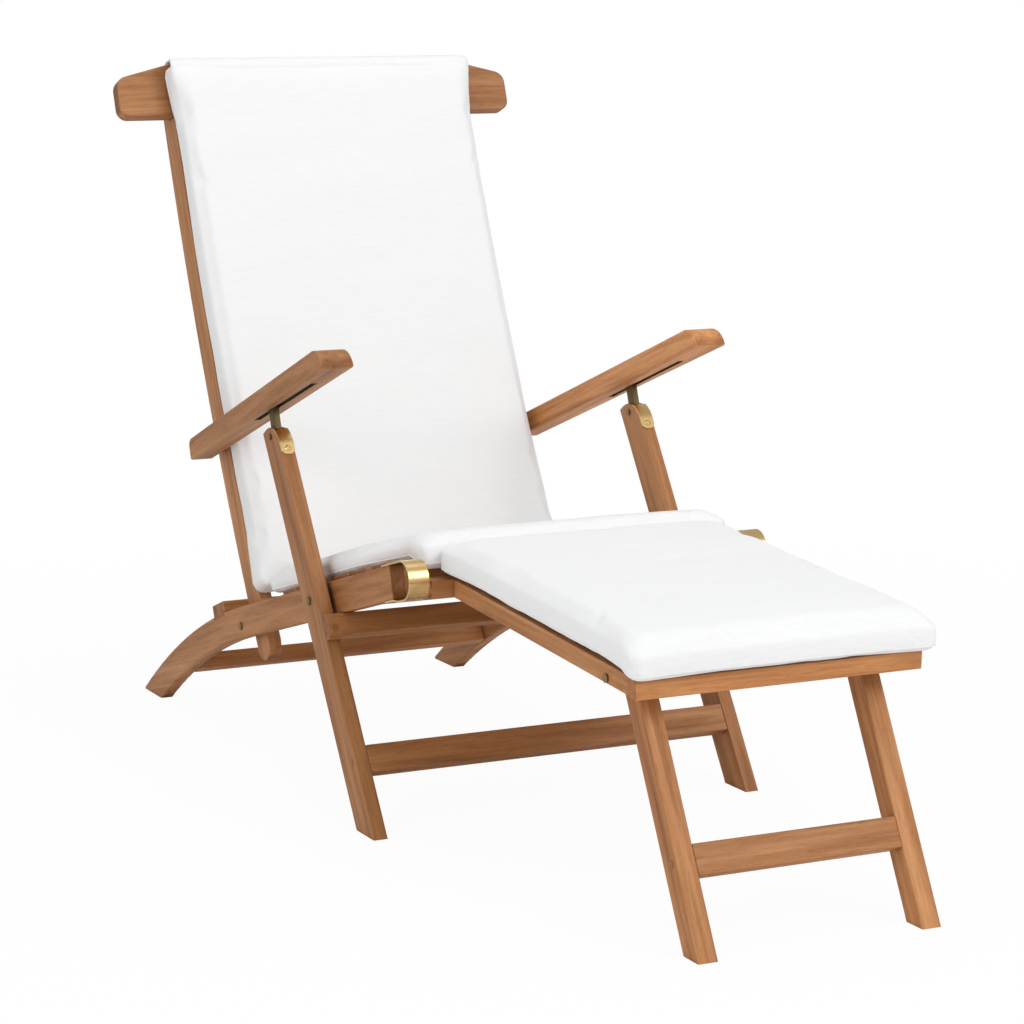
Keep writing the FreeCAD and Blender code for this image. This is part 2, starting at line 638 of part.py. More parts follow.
# Armrests. f runs forward from the rear pin and n upwards, square to the arm.
up_arm, _ = turn(v.arm_slope)
forward_arm = (-up_arm[1], up_arm[0])
hinge_f = (hinge[0] - arm_pivot[0]) * forward_arm[0] + (hinge[1] - arm_pivot[1]) * forward_arm[1]
hinge_n = (hinge[0] - arm_pivot[0]) * up_arm[0] + (hinge[1] - arm_pivot[1]) * up_arm[1]
groove_from = hinge_f - v.groove_behind
arm_half = v.arm_thick / 2
arm_wide = v.arm_outer_front - v.arm_inner_rear
arm_mid = (v.arm_outer_front + v.arm_inner_rear) / 2


def on_arm(f, n):
    return at(arm_pivot, forward_arm, f, up_arm, n)


def taper_cut(body, x_rear, x_front, outwards):
    """Cut the armrest back to the line from x_rear, at its rear end, to x_front, at its nose."""
    long = v.arm_nose_long + v.arm_behind
    angle = math.degrees(math.atan2(x_front - x_rear, long))
    reach = arm_wide + v.arm_thick
    cut = body.newObject("PartDesign::SubtractiveBox", body.Name + "_taper")
    cut.Length = reach
    cut.Width = 4 * long
    cut.Height = 4 * v.arm_thick
    slant = Rotation(Vector(0, 0, 1), angle)
    shift = Vector(0 if outwards > 0 else -reach, -2 * long, -2 * v.arm_thick)
    rear = on_arm(-v.arm_behind, 0)
    flat = Placement(Vector(x_rear, rear[0], rear[1]), lean(v.arm_slope))
    cut.Placement = flat.multiply(Placement(Vector(0, 0, 0), slant)).multiply(
        Placement(shift, Rotation()))
    doc.recompute()


def armrest(label, side):
    body = new_body(label)
    nose = on_arm(v.arm_bend_long, v.arm_bend_high)
    corner = v.arm_rear_round
    bend = corner * (1 - math.sqrt(0.5))
    extrude(body, [
        line(on_arm(-v.arm_behind, -arm_half), on_arm(-v.arm_behind, arm_half - corner)),
        arc(on_arm(-v.arm_behind, arm_half - corner), on_arm(-v.arm_behind + bend, arm_half - bend),
            on_arm(-v.arm_behind + corner, arm_half)),
        line(on_arm(-v.arm_behind + corner, arm_half), on_arm(v.arm_top_long, arm_half)),
        arc(on_arm(v.arm_top_long, arm_half), nose, on_arm(v.arm_nose_long, -arm_half)),
        line(on_arm(v.arm_nose_long, -arm_half), on_arm(-v.arm_behind, -arm_half)),
    ], "Sizes.arm_outer_front - Sizes.arm_inner_rear + Sizes.arm_thick")
    inner_rear = side * (v.arm_inner_rear - arm_mid)
    inner_front = side * (v.arm_inner_front - arm_mid)
    outer_rear = side * (v.arm_outer_rear - arm_mid)
    outer_front = side * (v.arm_outer_front - arm_mid)
    taper_cut(body, inner_rear, inner_front, -side)
    taper_cut(body, outer_rear, outer_front, side)
    ease(body, "Sizes.arm_edge_round")
    groove_x = side * (leg_mid - arm_mid)
    middle = on_arm(groove_from + v.groove_long / 2, -arm_half)
    cut_block(body, (groove_x, middle[0], middle[1]),
              (v.groove_wide, v.groove_long, 2 * v.groove_deep), lean(v.arm_slope))
    pin_x = side * (v.arm_inner_rear - arm_mid)
    drill(body, arm_pivot, "Sizes.bolt_radius + Sizes.running_gap", 2 * v.arm_pin_depth, pin_x)
    body.Placement = Placement(Vector(side * arm_mid, 0, 0), Rotation())


def arm_channel(label, side):
    """Brass channel that lines the groove, open below."""
    body = new_body(label)
    box = body.newObject("PartDesign::AdditiveBox", label + "_block")
    box.setExpression("Length", "Sizes.groove_wide")
    box.setExpression("Width", "Sizes.groove_long")
    box.setExpression("Height", "Sizes.groove_deep")
    box.setExpression("Placement.Base.x", "-Length / 2")
    box.setExpression("Placement.Base.y", "-Width / 2")
    box.setExpression("Placement.Base.z", "-Height / 2")
    doc.recompute()
    wall = v.channel_wall
    cut_block(body, (0, 0, -wall),
              (v.groove_wide - 2 * wall, v.groove_long - 2 * wall, v.groove_deep), Rotation())
    middle = on_arm(groove_from + v.groove_long / 2, v.groove_deep / 2 - arm_half)
    body.Placement = Placement(Vector(side * leg_mid, middle[0], middle[1]), lean(v.arm_slope))


def arm_tongue(label, side):
    """Brass tongue that turns on the leg's pin and stands in the armrest's groove."""
    half = v.tongue_width / 2
    tip = v.tongue_reach - arm_half
    body = new_body(label)
    extrude(body, [
        line(on_arm(hinge_f + half, hinge_n), on_arm(hinge_f + half, tip)),
        line(on_arm(hinge_f + half, tip), on_arm(hinge_f - half, tip)),
        line(on_arm(hinge_f - half, tip), on_arm(hinge_f - half, hinge_n)),
        arc(on_arm(hinge_f - half, hinge_n), on_arm(hinge_f, hinge_n - half),
            on_arm(hinge_f + half, hinge_n)),
    ], "Sizes.groove_wide - 2 * Sizes.channel_wall - 2 * Sizes.face_gap")
    drill(body, hinge, "Sizes.hinge_pin_radius + Sizes.running_gap", v.leg_thick)
    body.Placement = Placement(Vector(side * leg_mid, 0, 0), Rotation())


for name, side in SIDES:
    armrest(name + "_armrest", side)
for name, side in SIDES:
    arm_channel(name + "_arm_channel", side)
for name, side in SIDES:
    arm_tongue(name + "_arm_tongue", side)

# Footrest
foot_up, foot_front_dir = turn(v.foot_leg_lean)
foot_leg_inner = v.foot_leg_outer - v.foot_leg_thick


def on_footrest(t, n=0.0):
    return at(bar, forward_foot, t, up_foot, n)


def footrest_rail(label, side):
    half = v.bar_side / 2
    body = new_body(label)
    corners = [on_footrest(half, -half), on_footrest(half, half),
               on_footrest(v.footrest_long, half), on_footrest(v.footrest_long, -half)]
    extrude(body, outline(corners), "Sizes.footrest_rail_thick")
    ease(body)
    drill(body, foot_pivot, "Sizes.bolt_radius + Sizes.running_gap", v.footrest_rail_thick + v.cut_over)
    mid = v.footrest_outer - v.footrest_rail_thick / 2
    body.Placement = Placement(Vector(side * mid, 0, 0), Rotation())


for name, side in SIDES:
    footrest_rail(name + "_footrest_rail", side)


def footrest_bar():
    """Rear bar: square between the loops, with round ends that lie in them."""
    body = new_body("footrest_bar")
    round_part = body.newObject("PartDesign::AdditiveCylinder", "footrest_bar_round")
    round_part.setExpression("Radius", "Sizes.bar_side / 2")
    round_part.setExpression("Height", "2 * Sizes.bar_end_half")
    round_part.Placement = Placement(Vector(-v.bar_end_half, 0, 0),
                                     Rotation(Vector(0, 0, 1), Vector(1, 0, 0)))
    square = body.newObject("PartDesign::AdditiveBox", "footrest_bar_square")
    square.setExpression("Length", "2 * Sizes.bar_square_half")
    square.setExpression("Width", "Sizes.bar_side")
    square.setExpression("Height", "Sizes.bar_side")
    square.setExpression("Placement.Base.x", "-Length / 2")
    square.setExpression("Placement.Base.y", "-Width / 2")
    square.setExpression("Placement.Base.z", "-Height / 2")
    doc.recompute()
    body.Placement = Placement(Vector(0, bar[0], bar[1]), lean(-v.footrest_slope))


footrest_bar()
board("footrest_front_board", "2 * Sizes.front_board_half", "Sizes.front_board_deep",
      "Sizes.bar_side", on_footrest(v.footrest_long + v.front_board_deep / 2),
      lean(-v.footrest_slope))
foot_slat_rise = v.bar_side / 2 + v.footrest_slat_thick / 2
foot_slat_last = v.footrest_long - v.footrest_slat_end
foot_slat_places = between(v.footrest_slat_first, foot_slat_last, v.footrest_slat_count)
for i, t in enumerate(foot_slat_places):
    board("footrest_slat_%d" % (i + 1), "2 * Sizes.footrest_slat_half", "Sizes.footrest_slat_width",
          "Sizes.footrest_slat_thick", on_footrest(t, foot_slat_rise), lean(-v.footrest_slope))


def on_foot_leg(s, p):
    return at(foot_pivot, foot_up, s, foot_front_dir, p)


def foot_leg_end(p):
    return -(foot_pivot[1] + foot_front_dir[1] * p) / foot_up[1]


def footrest_leg(label, side):
    body = new_body(label)
    front_low = on_foot_leg(foot_leg_end(foot_half), foot_half)
    back_low = on_foot_leg(foot_leg_end(-foot_half), -foot_half)
    extrude(body, [
        arc(on_foot_leg(0, -foot_half), on_foot_leg(foot_half, 0), on_foot_leg(0, foot_half)),
        line(on_foot_leg(0, foot_half), front_low),
        line(front_low, back_low),
        line(back_low, on_foot_leg(0, -foot_half)),
    ], "Sizes.foot_leg_thick")
    ease(body, stands=True)
    drill(body, foot_pivot, "Sizes.bolt_radius + Sizes.running_gap", v.foot_leg_thick + v.cut_over)
    mid = v.foot_leg_outer - v.foot_leg_thick / 2
    body.Placement = Placement(Vector(side * mid, 0, 0), Rotation())


for name, side in SIDES:
    footrest_leg(name + "_footrest_leg", side)
board("footrest_stretcher", "2 * (Sizes.foot_leg_outer - Sizes.foot_leg_thick)",
      "Sizes.stretcher_thick", "Sizes.stretcher_high",
      on_foot_leg(-v.foot_stretcher_drop, foot_half - v.stretcher_thick / 2),
      lean(v.foot_leg_lean))

# Brass loops that hold the footrest's bar. In a rail's view, s runs forward and d upwards.


def on_rail_end(s, d):
    return at(rail_end, forward_seat, s, up_seat, d)


bar_s = (bar[0] - rail_end[0]) * forward_seat[0] + (bar[1] - rail_end[1]) * forward_seat[1]
bar_d = (bar[0] - rail_end[0]) * up_seat[0] + (bar[1] - rail_end[1]) * up_seat[1]
loop_top = v.rail_depth / 2
loop_low = bar_d - v.bar_side / 2 - v.face_gap
loop_radius = (loop_top - loop_low) / 2
loop_middle = (loop_top + loop_low) / 2
loop_mid = v.rail_outer - v.clip_width / 2


def footrest_loop(label, side):
    t = v.clip_thick
    top, low, r, m = loop_top, loop_low, loop_radius, loop_middle
    reach = bar_s + v.clip_before_bar
    step = v.clip_step
    body = new_body(label)
    extrude(body, [
        line(on_rail_end(-v.clip_tail, top), on_rail_end(reach, top)),
        arc(on_rail_end(reach, top), on_rail_end(reach + r, m), on_rail_end(reach, low)),
        line(on_rail_end(reach, low), on_rail_end(step, low)),
        line(on_rail_end(step, low), on_rail_end(0, -top)),
        line(on_rail_end(0, -top), on_rail_end(-v.clip_tail, -top)),
        line(on_rail_end(-v.clip_tail, -top), on_rail_end(-v.clip_tail, -top - t)),
        line(on_rail_end(-v.clip_tail, -top - t), on_rail_end(0, -top - t)),
        line(on_rail_end(0, -top - t), on_rail_end(step, low - t)),
        line(on_rail_end(step, low - t), on_rail_end(reach, low - t)),
        arc(on_rail_end(reach, low - t), on_rail_end(reach + r + t, m), on_rail_end(reach, top + t)),
        line(on_rail_end(reach, top + t), on_rail_end(-v.clip_tail, top + t)),
        line(on_rail_end(-v.clip_tail, top + t), on_rail_end(-v.clip_tail, top)),
    ], "Sizes.clip_width")
    body.Placement = Placement(Vector(side * loop_mid, 0, 0), Rotation())


for name, side in SIDES:
    footrest_loop(name + "_footrest_loop", side)

# Fasteners


def rod(name, radius, x_from, x_to, point):
    """A cylinder along X between two distances from the middle, on one side."""
    shape = doc.addObject("Part::Cylinder", name)
    shape.setExpression("Radius", radius)
    shape.Height = abs(x_to - x_from)
    shape.Placement = Placement(Vector(min(x_from, x_to), point[0], point[1]),
                                Rotation(Vector(0, 0, 1), Vector(1, 0, 0)))
    return shape


def fuse(name, shapes):
    joined = doc.addObject("Part::MultiFuse", name)
    joined.Shapes = shapes
    return joined


def group(label, shapes):
    compound = doc.addObject("Part::Compound", label)
    compound.Links = shapes
    return keep(compound, label)


def bolt(name, side, point, x_in, x_out, radius, head, head_high, outer_head=True):
    """A bolt from x_in to x_out with a head outside and a nut inside."""
    pieces = [rod(name + "_shank", radius, side * x_in, side * x_out, point),
              rod(name + "_nut", head, side * (x_in - head_high), side * x_in, point)]
    if outer_head:
        pieces.append(rod(name + "_head", head, side * x_out, side * (x_out + head_high), point))
    return fuse(name, pieces)


def washer(name, side, point, x_in, x_out):
    """A spacing washer that fills the gap between two timbers."""
    x0 = x_in + v.face_gap
    x1 = x_out - v.face_gap
    disc = rod(name + "_disc", "Sizes.washer_radius", side * x0, side * x1, point)
    hole = rod(name + "_hole", "Sizes.bolt_radius + Sizes.running_gap",
               side * (x0 - v.cut_over), side * (x1 + v.cut_over), point)
    ring = doc.addObject("Part::Cut", name)
    ring.Base = disc
    ring.Tool = hole
    return ring


def bolts(label, point, x_in, x_out, collar=None, outer_head=True):
    """The bolts of one pivot on both sides; a collar on each fills a gap between timbers."""
    pieces = []
    for name, side in SIDES:
        tag = "%s_%s" % (label, name)
        piece = bolt(tag, side, point, x_in - v.face_gap, x_out + (v.face_gap if outer_head else 0),
                     "Sizes.bolt_radius", "Sizes.bolt_head_radius", v.bolt_head_high, outer_head)
        if collar:
            ring = rod(tag + "_collar", "Sizes.washer_radius", side * (collar[0] + v.face_gap),
                       side * (collar[1] - v.face_gap), point)
            piece.Shapes = piece.Shapes + [ring]
        pieces.append(piece)
    group(label, pieces)


def washers(label, point, x_in, x_out):
    group(label, [washer("%s_%s" % (label, name), side, point, x_in, x_out)
                  for name, side in SIDES])


leg_outer = v.leg_inner + v.leg_thick
stile_inner = v.stile_outer - v.stile_thick
footrest_inner = v.footrest_outer - v.footrest_rail_thick
arm_pin_end = v.arm_inner_rear + v.arm_pin_depth - v.arm_pin_spare
bolts("leg_pivot_bolts", leg_pivot, rail_inner, leg_outer, (v.rail_outer, v.leg_inner))
bolts("back_pivot_bolts", back_pivot, stile_inner, v.rail_outer)
washers("back_pivot_washers", back_pivot, v.stile_outer, rail_inner)
bolts("arm_pivot_bolts", arm_pivot, stile_inner, arm_pin_end, None, False)
washers("arm_pivot_spacers", arm_pivot, v.stile_outer, v.arm_inner_rear)
bolts("footrest_leg_bolts", foot_pivot, foot_leg_inner, v.footrest_outer,
      (v.foot_leg_outer, footrest_inner))
group("arm_hinge_pins", [
    bolt("arm_hinge_" + name, side, hinge, v.leg_inner - v.face_gap, leg_outer + v.face_gap,
         "Sizes.hinge_pin_radius", "Sizes.hinge_head_radius", v.hinge_head_high)
    for name, side in SIDES])


def screw_head(name, x, point, direction):
    """A low round head that stands on a brass face, facing a direction in the side view."""
    head = doc.addObject("Part::Cone", name)
    head.setExpression("Radius1", "Sizes.screw_radius")
    head.setExpression("Radius2", "Sizes.screw_top_radius")
    head.setExpression("Height", "Sizes.screw_high")
    head.Placement = Placement(Vector(x, point[0], point[1]),
                               Rotation(Vector(0, 0, 1), Vector(0, direction[0], direction[1])))
    return head


cap_screw_s = v.leg_above - v.leg_top_round - v.cap_tail / 2
group("leg_cap_screws", [
    screw_head("leg_cap_screw_" + name, side * leg_mid,
               on_leg(cap_screw_s, v.leg_width / 2 + v.cap_thick), front_leg)
    for name, side in SIDES])
loop_screws = []
down_seat = (-up_seat[0], -up_seat[1])
for name, side in SIDES:
    height = v.rail_depth / 2 + v.clip_thick
    loop_screws.append(screw_head("loop_screw_low_" + name, side * loop_mid,
                                  on_rail_end(-v.clip_tail / 2, -height), down_seat))
group("loop_screws", loop_screws)

# The bulging sides reach up to this share of a panel's thickness
SIDE_SHARE = 0.9

# Cushion panels: each is a loft through sections with a flat underside, bulging sides and a
# crowned top. A section stands square to the panel's length.


def section(foot_point, normal, half, thick, crown):
    """Closed wire: x across the chair, and height along the normal from the foot point."""
    e = v.cushion_side

    def p(x, h):
        return Vector(x, foot_point[0] + normal[0] * h, foot_point[1] + normal[1] * h)

    side_h = thick * SIDE_SHARE
    edges = [
        Part.LineSegment(p(-half + e, 0), p(half - e, 0)).toShape(),
        Part.Arc(p(half - e, 0), p(half, side_h * 0.5), p(half - e, side_h)).toShape(),
        Part.Arc(p(half - e, side_h), p(0, thick + crown), p(-half + e, side_h)).toShape(),
        Part.Arc(p(-half + e, side_h), p(-half, side_h * 0.5), p(-half + e, 0)).toShape(),
    ]
    return Part.Wire(edges)


def cushion(label, sections):
    solid = Part.makeLoft([section(*s) for s in sections], True, True)
    piece = doc.addObject("Part::Feature", label)
    piece.Shape = solid
    keep(piece, label)


# Share of the full thickness and the inset from the end, for the rounded ends of a panel
END_STEPS = ((0.0, 0.55), (0.22, 0.82), (0.8, 1.0))


def panel_stations(start, end, thick):
    """Places along a panel, with the share of its thickness at each."""
    stations = [(start + thick * inset, share) for inset, share in END_STEPS]
    middle = (start + end) / 2
    stations.append((middle, 1.0))
    stations.extend((end - thick * inset, share) for inset, share in reversed(END_STEPS))
    return stations


def straight_panel(label, start, end, halves, thick, place, normal, droop=0.0):
    """A flat panel whose half width runs evenly from the first to the second of halves.

    Its front end may droop below the slats, as far back as its rounded end reaches."""
    round_end = thick * END_STEPS[-1][0]
    sections = []
    for where, share in panel_stations(start, end, thick):
        inset = v.cushion_side * (1 - share)
        half = halves[0] + (halves[1] - halves[0]) * (where - start) / (end - start)
        fall = droop * max(0.0, 1 - (where - start) / round_end)
        sections.append((at(place(where), normal, -fall), normal, half - inset, thick * share,
                         v.cushion_crown * (share == 1.0)))
    cushion(label, sections)


def seat_surface(along):
    return at(rail_end, back_seat, along, up_seat,
              v.rail_depth / 2 + v.slat_thick + v.cushion_gap)


def footrest_surface(t):
    return on_footrest(t, v.bar_side / 2 + v.footrest_slat_thick + v.cushion_gap)


def back_panel():
    """The back panel follows the stiles' curve."""
    sections = []
    stand = v.stile_depth + v.slat_thick + 2 * v.cushion_gap
    top = crest_s + v.back_cushion_over
    for s, share in panel_stations(v.back_cushion_from, top, v.cushion_thick):
        inset = v.cushion_side * (1 - share)
        _, facing = turn(back_tilt(s, stand))
        sections.append((on_back(s, stand), facing, v.back_cushion_half - inset,
                         v.cushion_thick * share, v.cushion_crown * (share == 1.0)))
    cushion("back_cushion", sections)


straight_panel("seat_cushion", v.seat_cushion_from, v.back_pivot_along - v.seat_cushion_end,
               (v.seat_cushion_front_half, v.seat_cushion_half), v.seat_cushion_thick,
               seat_surface, up_seat, v.seat_cushion_droop)
straight_panel("footrest_cushion", v.footrest_cushion_from,
               v.footrest_long + v.footrest_cushion_over,
               (v.footrest_cushion_half, v.footrest_cushion_half), v.footrest_cushion_thick,
               footrest_surface, up_foot)
back_panel()

doc.recompute()

# Every object has to be sound before anything is written
for obj in doc.Objects:
    if "Invalid" in obj.State or "Error" in obj.State:
        raise RuntimeError("%s failed: %s" % (obj.Label, obj.State))
for piece in PARTS:
    if piece.Shape.isNull() or not piece.Shape.isValid() or piece.Shape.Volume <= 0:
        raise RuntimeError(piece.Label + " has no sound shape")
if len({piece.Label for piece in PARTS}) != len(PARTS) or len(PARTS) > 60:
    raise RuntimeError("labels repeat, or there are more than 60 sub-parts")
for piece in PARTS:
    piece.Shape.exportStep("parts/%s.step" % piece.Label)
print("sub-parts", len(PARTS))
print("hinge", [round(c, 2) for c in hinge], "leg pivot", [round(c, 2) for c in leg_pivot],
      "back pivot", back_pivot, "arm pivot", arm_pivot, "foot pivot",
      [round(c, 2) for c in foot_pivot], "bar", bar)
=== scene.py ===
import math
import random

import bmesh
import bpy
from mathutils import Matrix, Vector, noise
from mathutils.bvhtree import BVHTree


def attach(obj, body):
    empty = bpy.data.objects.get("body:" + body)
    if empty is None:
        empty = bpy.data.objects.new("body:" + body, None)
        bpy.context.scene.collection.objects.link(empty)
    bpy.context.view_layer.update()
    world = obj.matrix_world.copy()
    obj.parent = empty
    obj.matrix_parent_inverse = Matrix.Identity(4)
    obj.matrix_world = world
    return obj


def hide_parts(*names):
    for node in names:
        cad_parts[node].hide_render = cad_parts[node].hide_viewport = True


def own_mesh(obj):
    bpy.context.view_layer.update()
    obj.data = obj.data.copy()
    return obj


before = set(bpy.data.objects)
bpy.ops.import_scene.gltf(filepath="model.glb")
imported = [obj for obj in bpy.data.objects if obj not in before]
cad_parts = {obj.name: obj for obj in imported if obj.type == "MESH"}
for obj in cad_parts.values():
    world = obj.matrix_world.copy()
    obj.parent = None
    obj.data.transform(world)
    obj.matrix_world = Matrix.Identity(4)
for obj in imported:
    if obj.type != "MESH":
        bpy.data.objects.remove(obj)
random.seed(7)
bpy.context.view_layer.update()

# Lines of the chair in the side view, in metres, as (y, z)


def turn(angle):
    """Unit vectors of a piece that leans back by angle: along it, and towards its front."""
    a = math.radians(angle)
    return (math.sin(a), math.cos(a)), (-math.cos(a), math.sin(a))


def at(origin, first, along, second=(0, 0), across=0.0):
    """The point this far along the first direction and across by the second."""
    return (origin[0] + first[0] * along + second[0] * across,
            origin[1] + first[1] * along + second[1] * across)


UP_SEAT, FORWARD_SEAT = turn(15.5)
BACK_SEAT = (-FORWARD_SEAT[0], -FORWARD_SEAT[1])
RAIL_END = (-0.163, 0.317)
LEG_PIVOT = at(RAIL_END, BACK_SEAT, 0.208)
UP_LEG, FRONT_LEG = turn(33.2)
BACK_PIVOT = (0.350, 0.1694)
BACK_LEAN = 25.9
UP_BACK, FRONT_BACK = turn(BACK_LEAN)
UP_ARM, _ = turn(19.3)
BAR = (-0.189, 0.311)
UP_FOOT, _ = turn(-3.7)
FORWARD_FOOT = (-UP_FOOT[1], UP_FOOT[0])
UP_FOOT_LEG, FRONT_FOOT_LEG = turn(27.4)
FOOT_PIVOT = (-0.59797, 0.280)
# The stiles' curve: its radius, where along the stile its middle is, and how far it bows
CURVE = 4.012
CURVE_MIDDLE = 0.357
CURVE_SWELL = 0.0297
STILE_DEPTH = 0.046


def on_back(s, inward):
    """The point this far up the back from its pivot, and this far in front of its rear edge."""
    r = CURVE - inward
    d = CURVE_SWELL - CURVE + math.sqrt(r ** 2 - (s - CURVE_MIDDLE) ** 2)
    return at(BACK_PIVOT, UP_BACK, s, (-FRONT_BACK[0], -FRONT_BACK[1]), d)


def back_facing(s):
    """The direction that the curved back faces this far up."""
    return turn(BACK_LEAN - math.degrees(math.asin((s - CURVE_MIDDLE) / CURVE)))[1]


# Materials


def new_material(name):
    mat = bpy.data.materials.new(name)
    mat.use_nodes = True
    nodes, links = mat.node_tree.nodes, mat.node_tree.links
    nodes.clear()
    out = nodes.new("ShaderNodeOutputMaterial")
    shader = nodes.new("ShaderNodeBsdfPrincipled")
    links.new(shader.outputs[0], out.inputs[0])
    return mat, nodes, links, shader


def dot(nodes, links, source, vector):
    n = nodes.new("ShaderNodeVectorMath")
    n.operation = "DOT_PRODUCT"
    links.new(source, n.inputs[0])
    n.inputs[1].default_value = vector
    return n.outputs["Value"]


def math_node(nodes, links, operation, a, b=None):
    n = nodes.new("ShaderNodeMath")
    n.operation = operation
    for i, value in enumerate((a, b)):
        if value is None:
            continue
        if isinstance(value, (int, float)):
            n.inputs[i].default_value = value
        else:
            links.new(value, n.inputs[i])
    return n.outputs[0]


def grain_vector(nodes, links, lengths, scales, seed):
    """Coordinates along and across the grain, in cycles, shifted by the seed."""
    combine = nodes.new("ShaderNodeCombineXYZ")
    for i, (length, scale) in enumerate(zip(lengths, scales)):
        scaled = math_node(nodes, links, "MULTIPLY", length, scale)
        links.new(math_node(nodes, links, "ADD", scaled, seed * (i + 1)), combine.inputs[i])
    return combine.outputs[0]


def noise_node(nodes, links, vector, detail, rough=0.55, distortion=0.0):
    n = nodes.new("ShaderNodeTexNoise")
    n.inputs["Scale"].default_value = 1.0
    n.inputs["Detail"].default_value = detail
    n.inputs["Roughness"].default_value = rough
    n.inputs["Distortion"].default_value = distortion
    links.new(vector, n.inputs["Vector"])
    return n.outputs["Fac"]


def ramp(nodes, links, fac, stops):
    n = nodes.new("ShaderNodeValToRGB")
    while len(n.color_ramp.elements) < len(stops):
        n.color_ramp.elements.new(0.5)
    for element, (place, color) in zip(n.color_ramp.elements, stops):
        element.position = place
        element.color = (*color, 1)
    links.new(fac, n.inputs[0])
    return n.outputs[0]


def mix_color(nodes, links, fac, a, b, mode="MIX"):
    n = nodes.new("ShaderNodeMix")
    n.data_type = "RGBA"
    n.blend_type = mode
    for socket, value in ((n.inputs[0], fac), (n.inputs[6], a), (n.inputs[7], b)):
        if isinstance(value, (int, float)):
            socket.default_value = value
        elif isinstance(value, tuple):
            socket.default_value = (*value, 1)
        else:
            links.new(value, socket)
    return n.outputs[2]


def lengths_along(nodes, links, axes):
    """The object's coordinates, and the length along each of the axes."""
    coords = nodes.new("ShaderNodeTexCoord")
    return coords, [dot(nodes, links, coords.outputs["Object"], axis) for axis in axes]


def weighted(nodes, links, a, share_a, b, share_b):
    return math_node(nodes, links, "ADD", math_node(nodes, links, "MULTIPLY", a, share_a),
                     math_node(nodes, links, "MULTIPLY", b, share_b))


def paint_crevice_shade(nodes, links, color, share, distance, dark, clear):
    """The colour with painted shade where surfaces meet within this distance, from ambient
    occlusion.
    """
    occlusion_shade = nodes.new("ShaderNodeAmbientOcclusion")
    occlusion_shade.inputs["Distance"].default_value = distance
    occlusion_shade.samples = 4
    shade = ramp(nodes, links, occlusion_shade.outputs["AO"], [(0.3, dark), (clear, (1, 1, 1))])
    return mix_color(nodes, links, share, color, shade, "MULTIPLY")


def bump_node(nodes, links, height, strength, distance):
    bump = nodes.new("ShaderNodeBump")
    bump.inputs["Strength"].default_value = strength
    bump.inputs["Distance"].default_value = distance
    links.new(height, bump.inputs["Height"])
    return bump


def mix_shaders(nodes, links, share, first, second):
    """Between two shaders: the first at share 0, the second at share 1, into the output."""
    mix = nodes.new("ShaderNodeMixShader")
    links.new(share, mix.inputs[0])
    links.new(first.outputs[0], mix.inputs[1])
    links.new(second.outputs[0], mix.inputs[2])
    out = [n for n in nodes if n.type in ("OUTPUT_MATERIAL", "OUTPUT_WORLD")][0]
    links.new(mix.outputs[0], out.inputs[0])


# Teak's colours from the darkest streak to the lightest, with the figure's value for each
TEAK = (
    (0.28, (0.220, 0.080, 0.023)),
    (0.45, (0.395, 0.162, 0.052)),
    (0.58, (0.500, 0.221, 0.078)),
    (0.74, (0.615, 0.302, 0.121)),
)


def teak(name, along, side, seed, tone=1.0):
    """Oiled teak: growth streaks and pores that run along the grain, and darker end grain."""
    mat, nodes, links, shader = new_material(name)
    third = Vector(along).cross(Vector(side))
    coords, lengths = lengths_along(nodes, links, (along, side, third))
    streak_grain = grain_vector(nodes, links, lengths, (5, 95, 95), seed)
    streaks = noise_node(nodes, links, streak_grain, 5, 0.6, 0.6)
    broad_grain = grain_vector(nodes, links, lengths, (2.2, 26, 26), seed + 3)
    broad = noise_node(nodes, links, broad_grain, 2)
    pore_grain = grain_vector(nodes, links, lengths, (60, 1300, 1300), seed + 5)
    pores = noise_node(nodes, links, pore_grain, 2)
    figure = weighted(nodes, links, streaks, 0.62, broad, 0.38)
    wood = ramp(nodes, links, figure,
                [(place, tuple(part * tone for part in color)) for place, color in TEAK])
    pore_mask = ramp(nodes, links, pores, [(0.34, (0.62, 0.55, 0.5)), (0.46, (1, 1, 1))])
    wood = mix_color(nodes, links, 0.55, wood, pore_mask, "MULTIPLY")
    facing = math_node(nodes, links, "ABSOLUTE", dot(nodes, links, coords.outputs["Normal"], along))
    end = ramp(nodes, links, facing, [(0.8, (1, 1, 1)), (0.95, (0.66, 0.6, 0.56))])
    wood = mix_color(nodes, links, 1.0, wood, end, "MULTIPLY")
    # Painted shade: the wood is darker where surfaces meet within 12 mm, from ambient occlusion
    wood = paint_crevice_shade(nodes, links, wood, 0.7, 0.012, (0.55, 0.5, 0.46), 0.75)
    links.new(wood, shader.inputs["Base Color"])
    rough = ramp(nodes, links, streaks, [(0.3, (0.62,) * 3), (0.7, (0.46,) * 3)])
    links.new(rough, shader.inputs["Roughness"])
    shader.inputs["Specular IOR Level"].default_value = 0.35
    relief = weighted(nodes, links, streaks, 0.7, pores, 0.5)
    bump = bump_node(nodes, links, relief, 0.35, 0.0006)
    links.new(bump.outputs[0], shader.inputs["Normal"])
    return mat


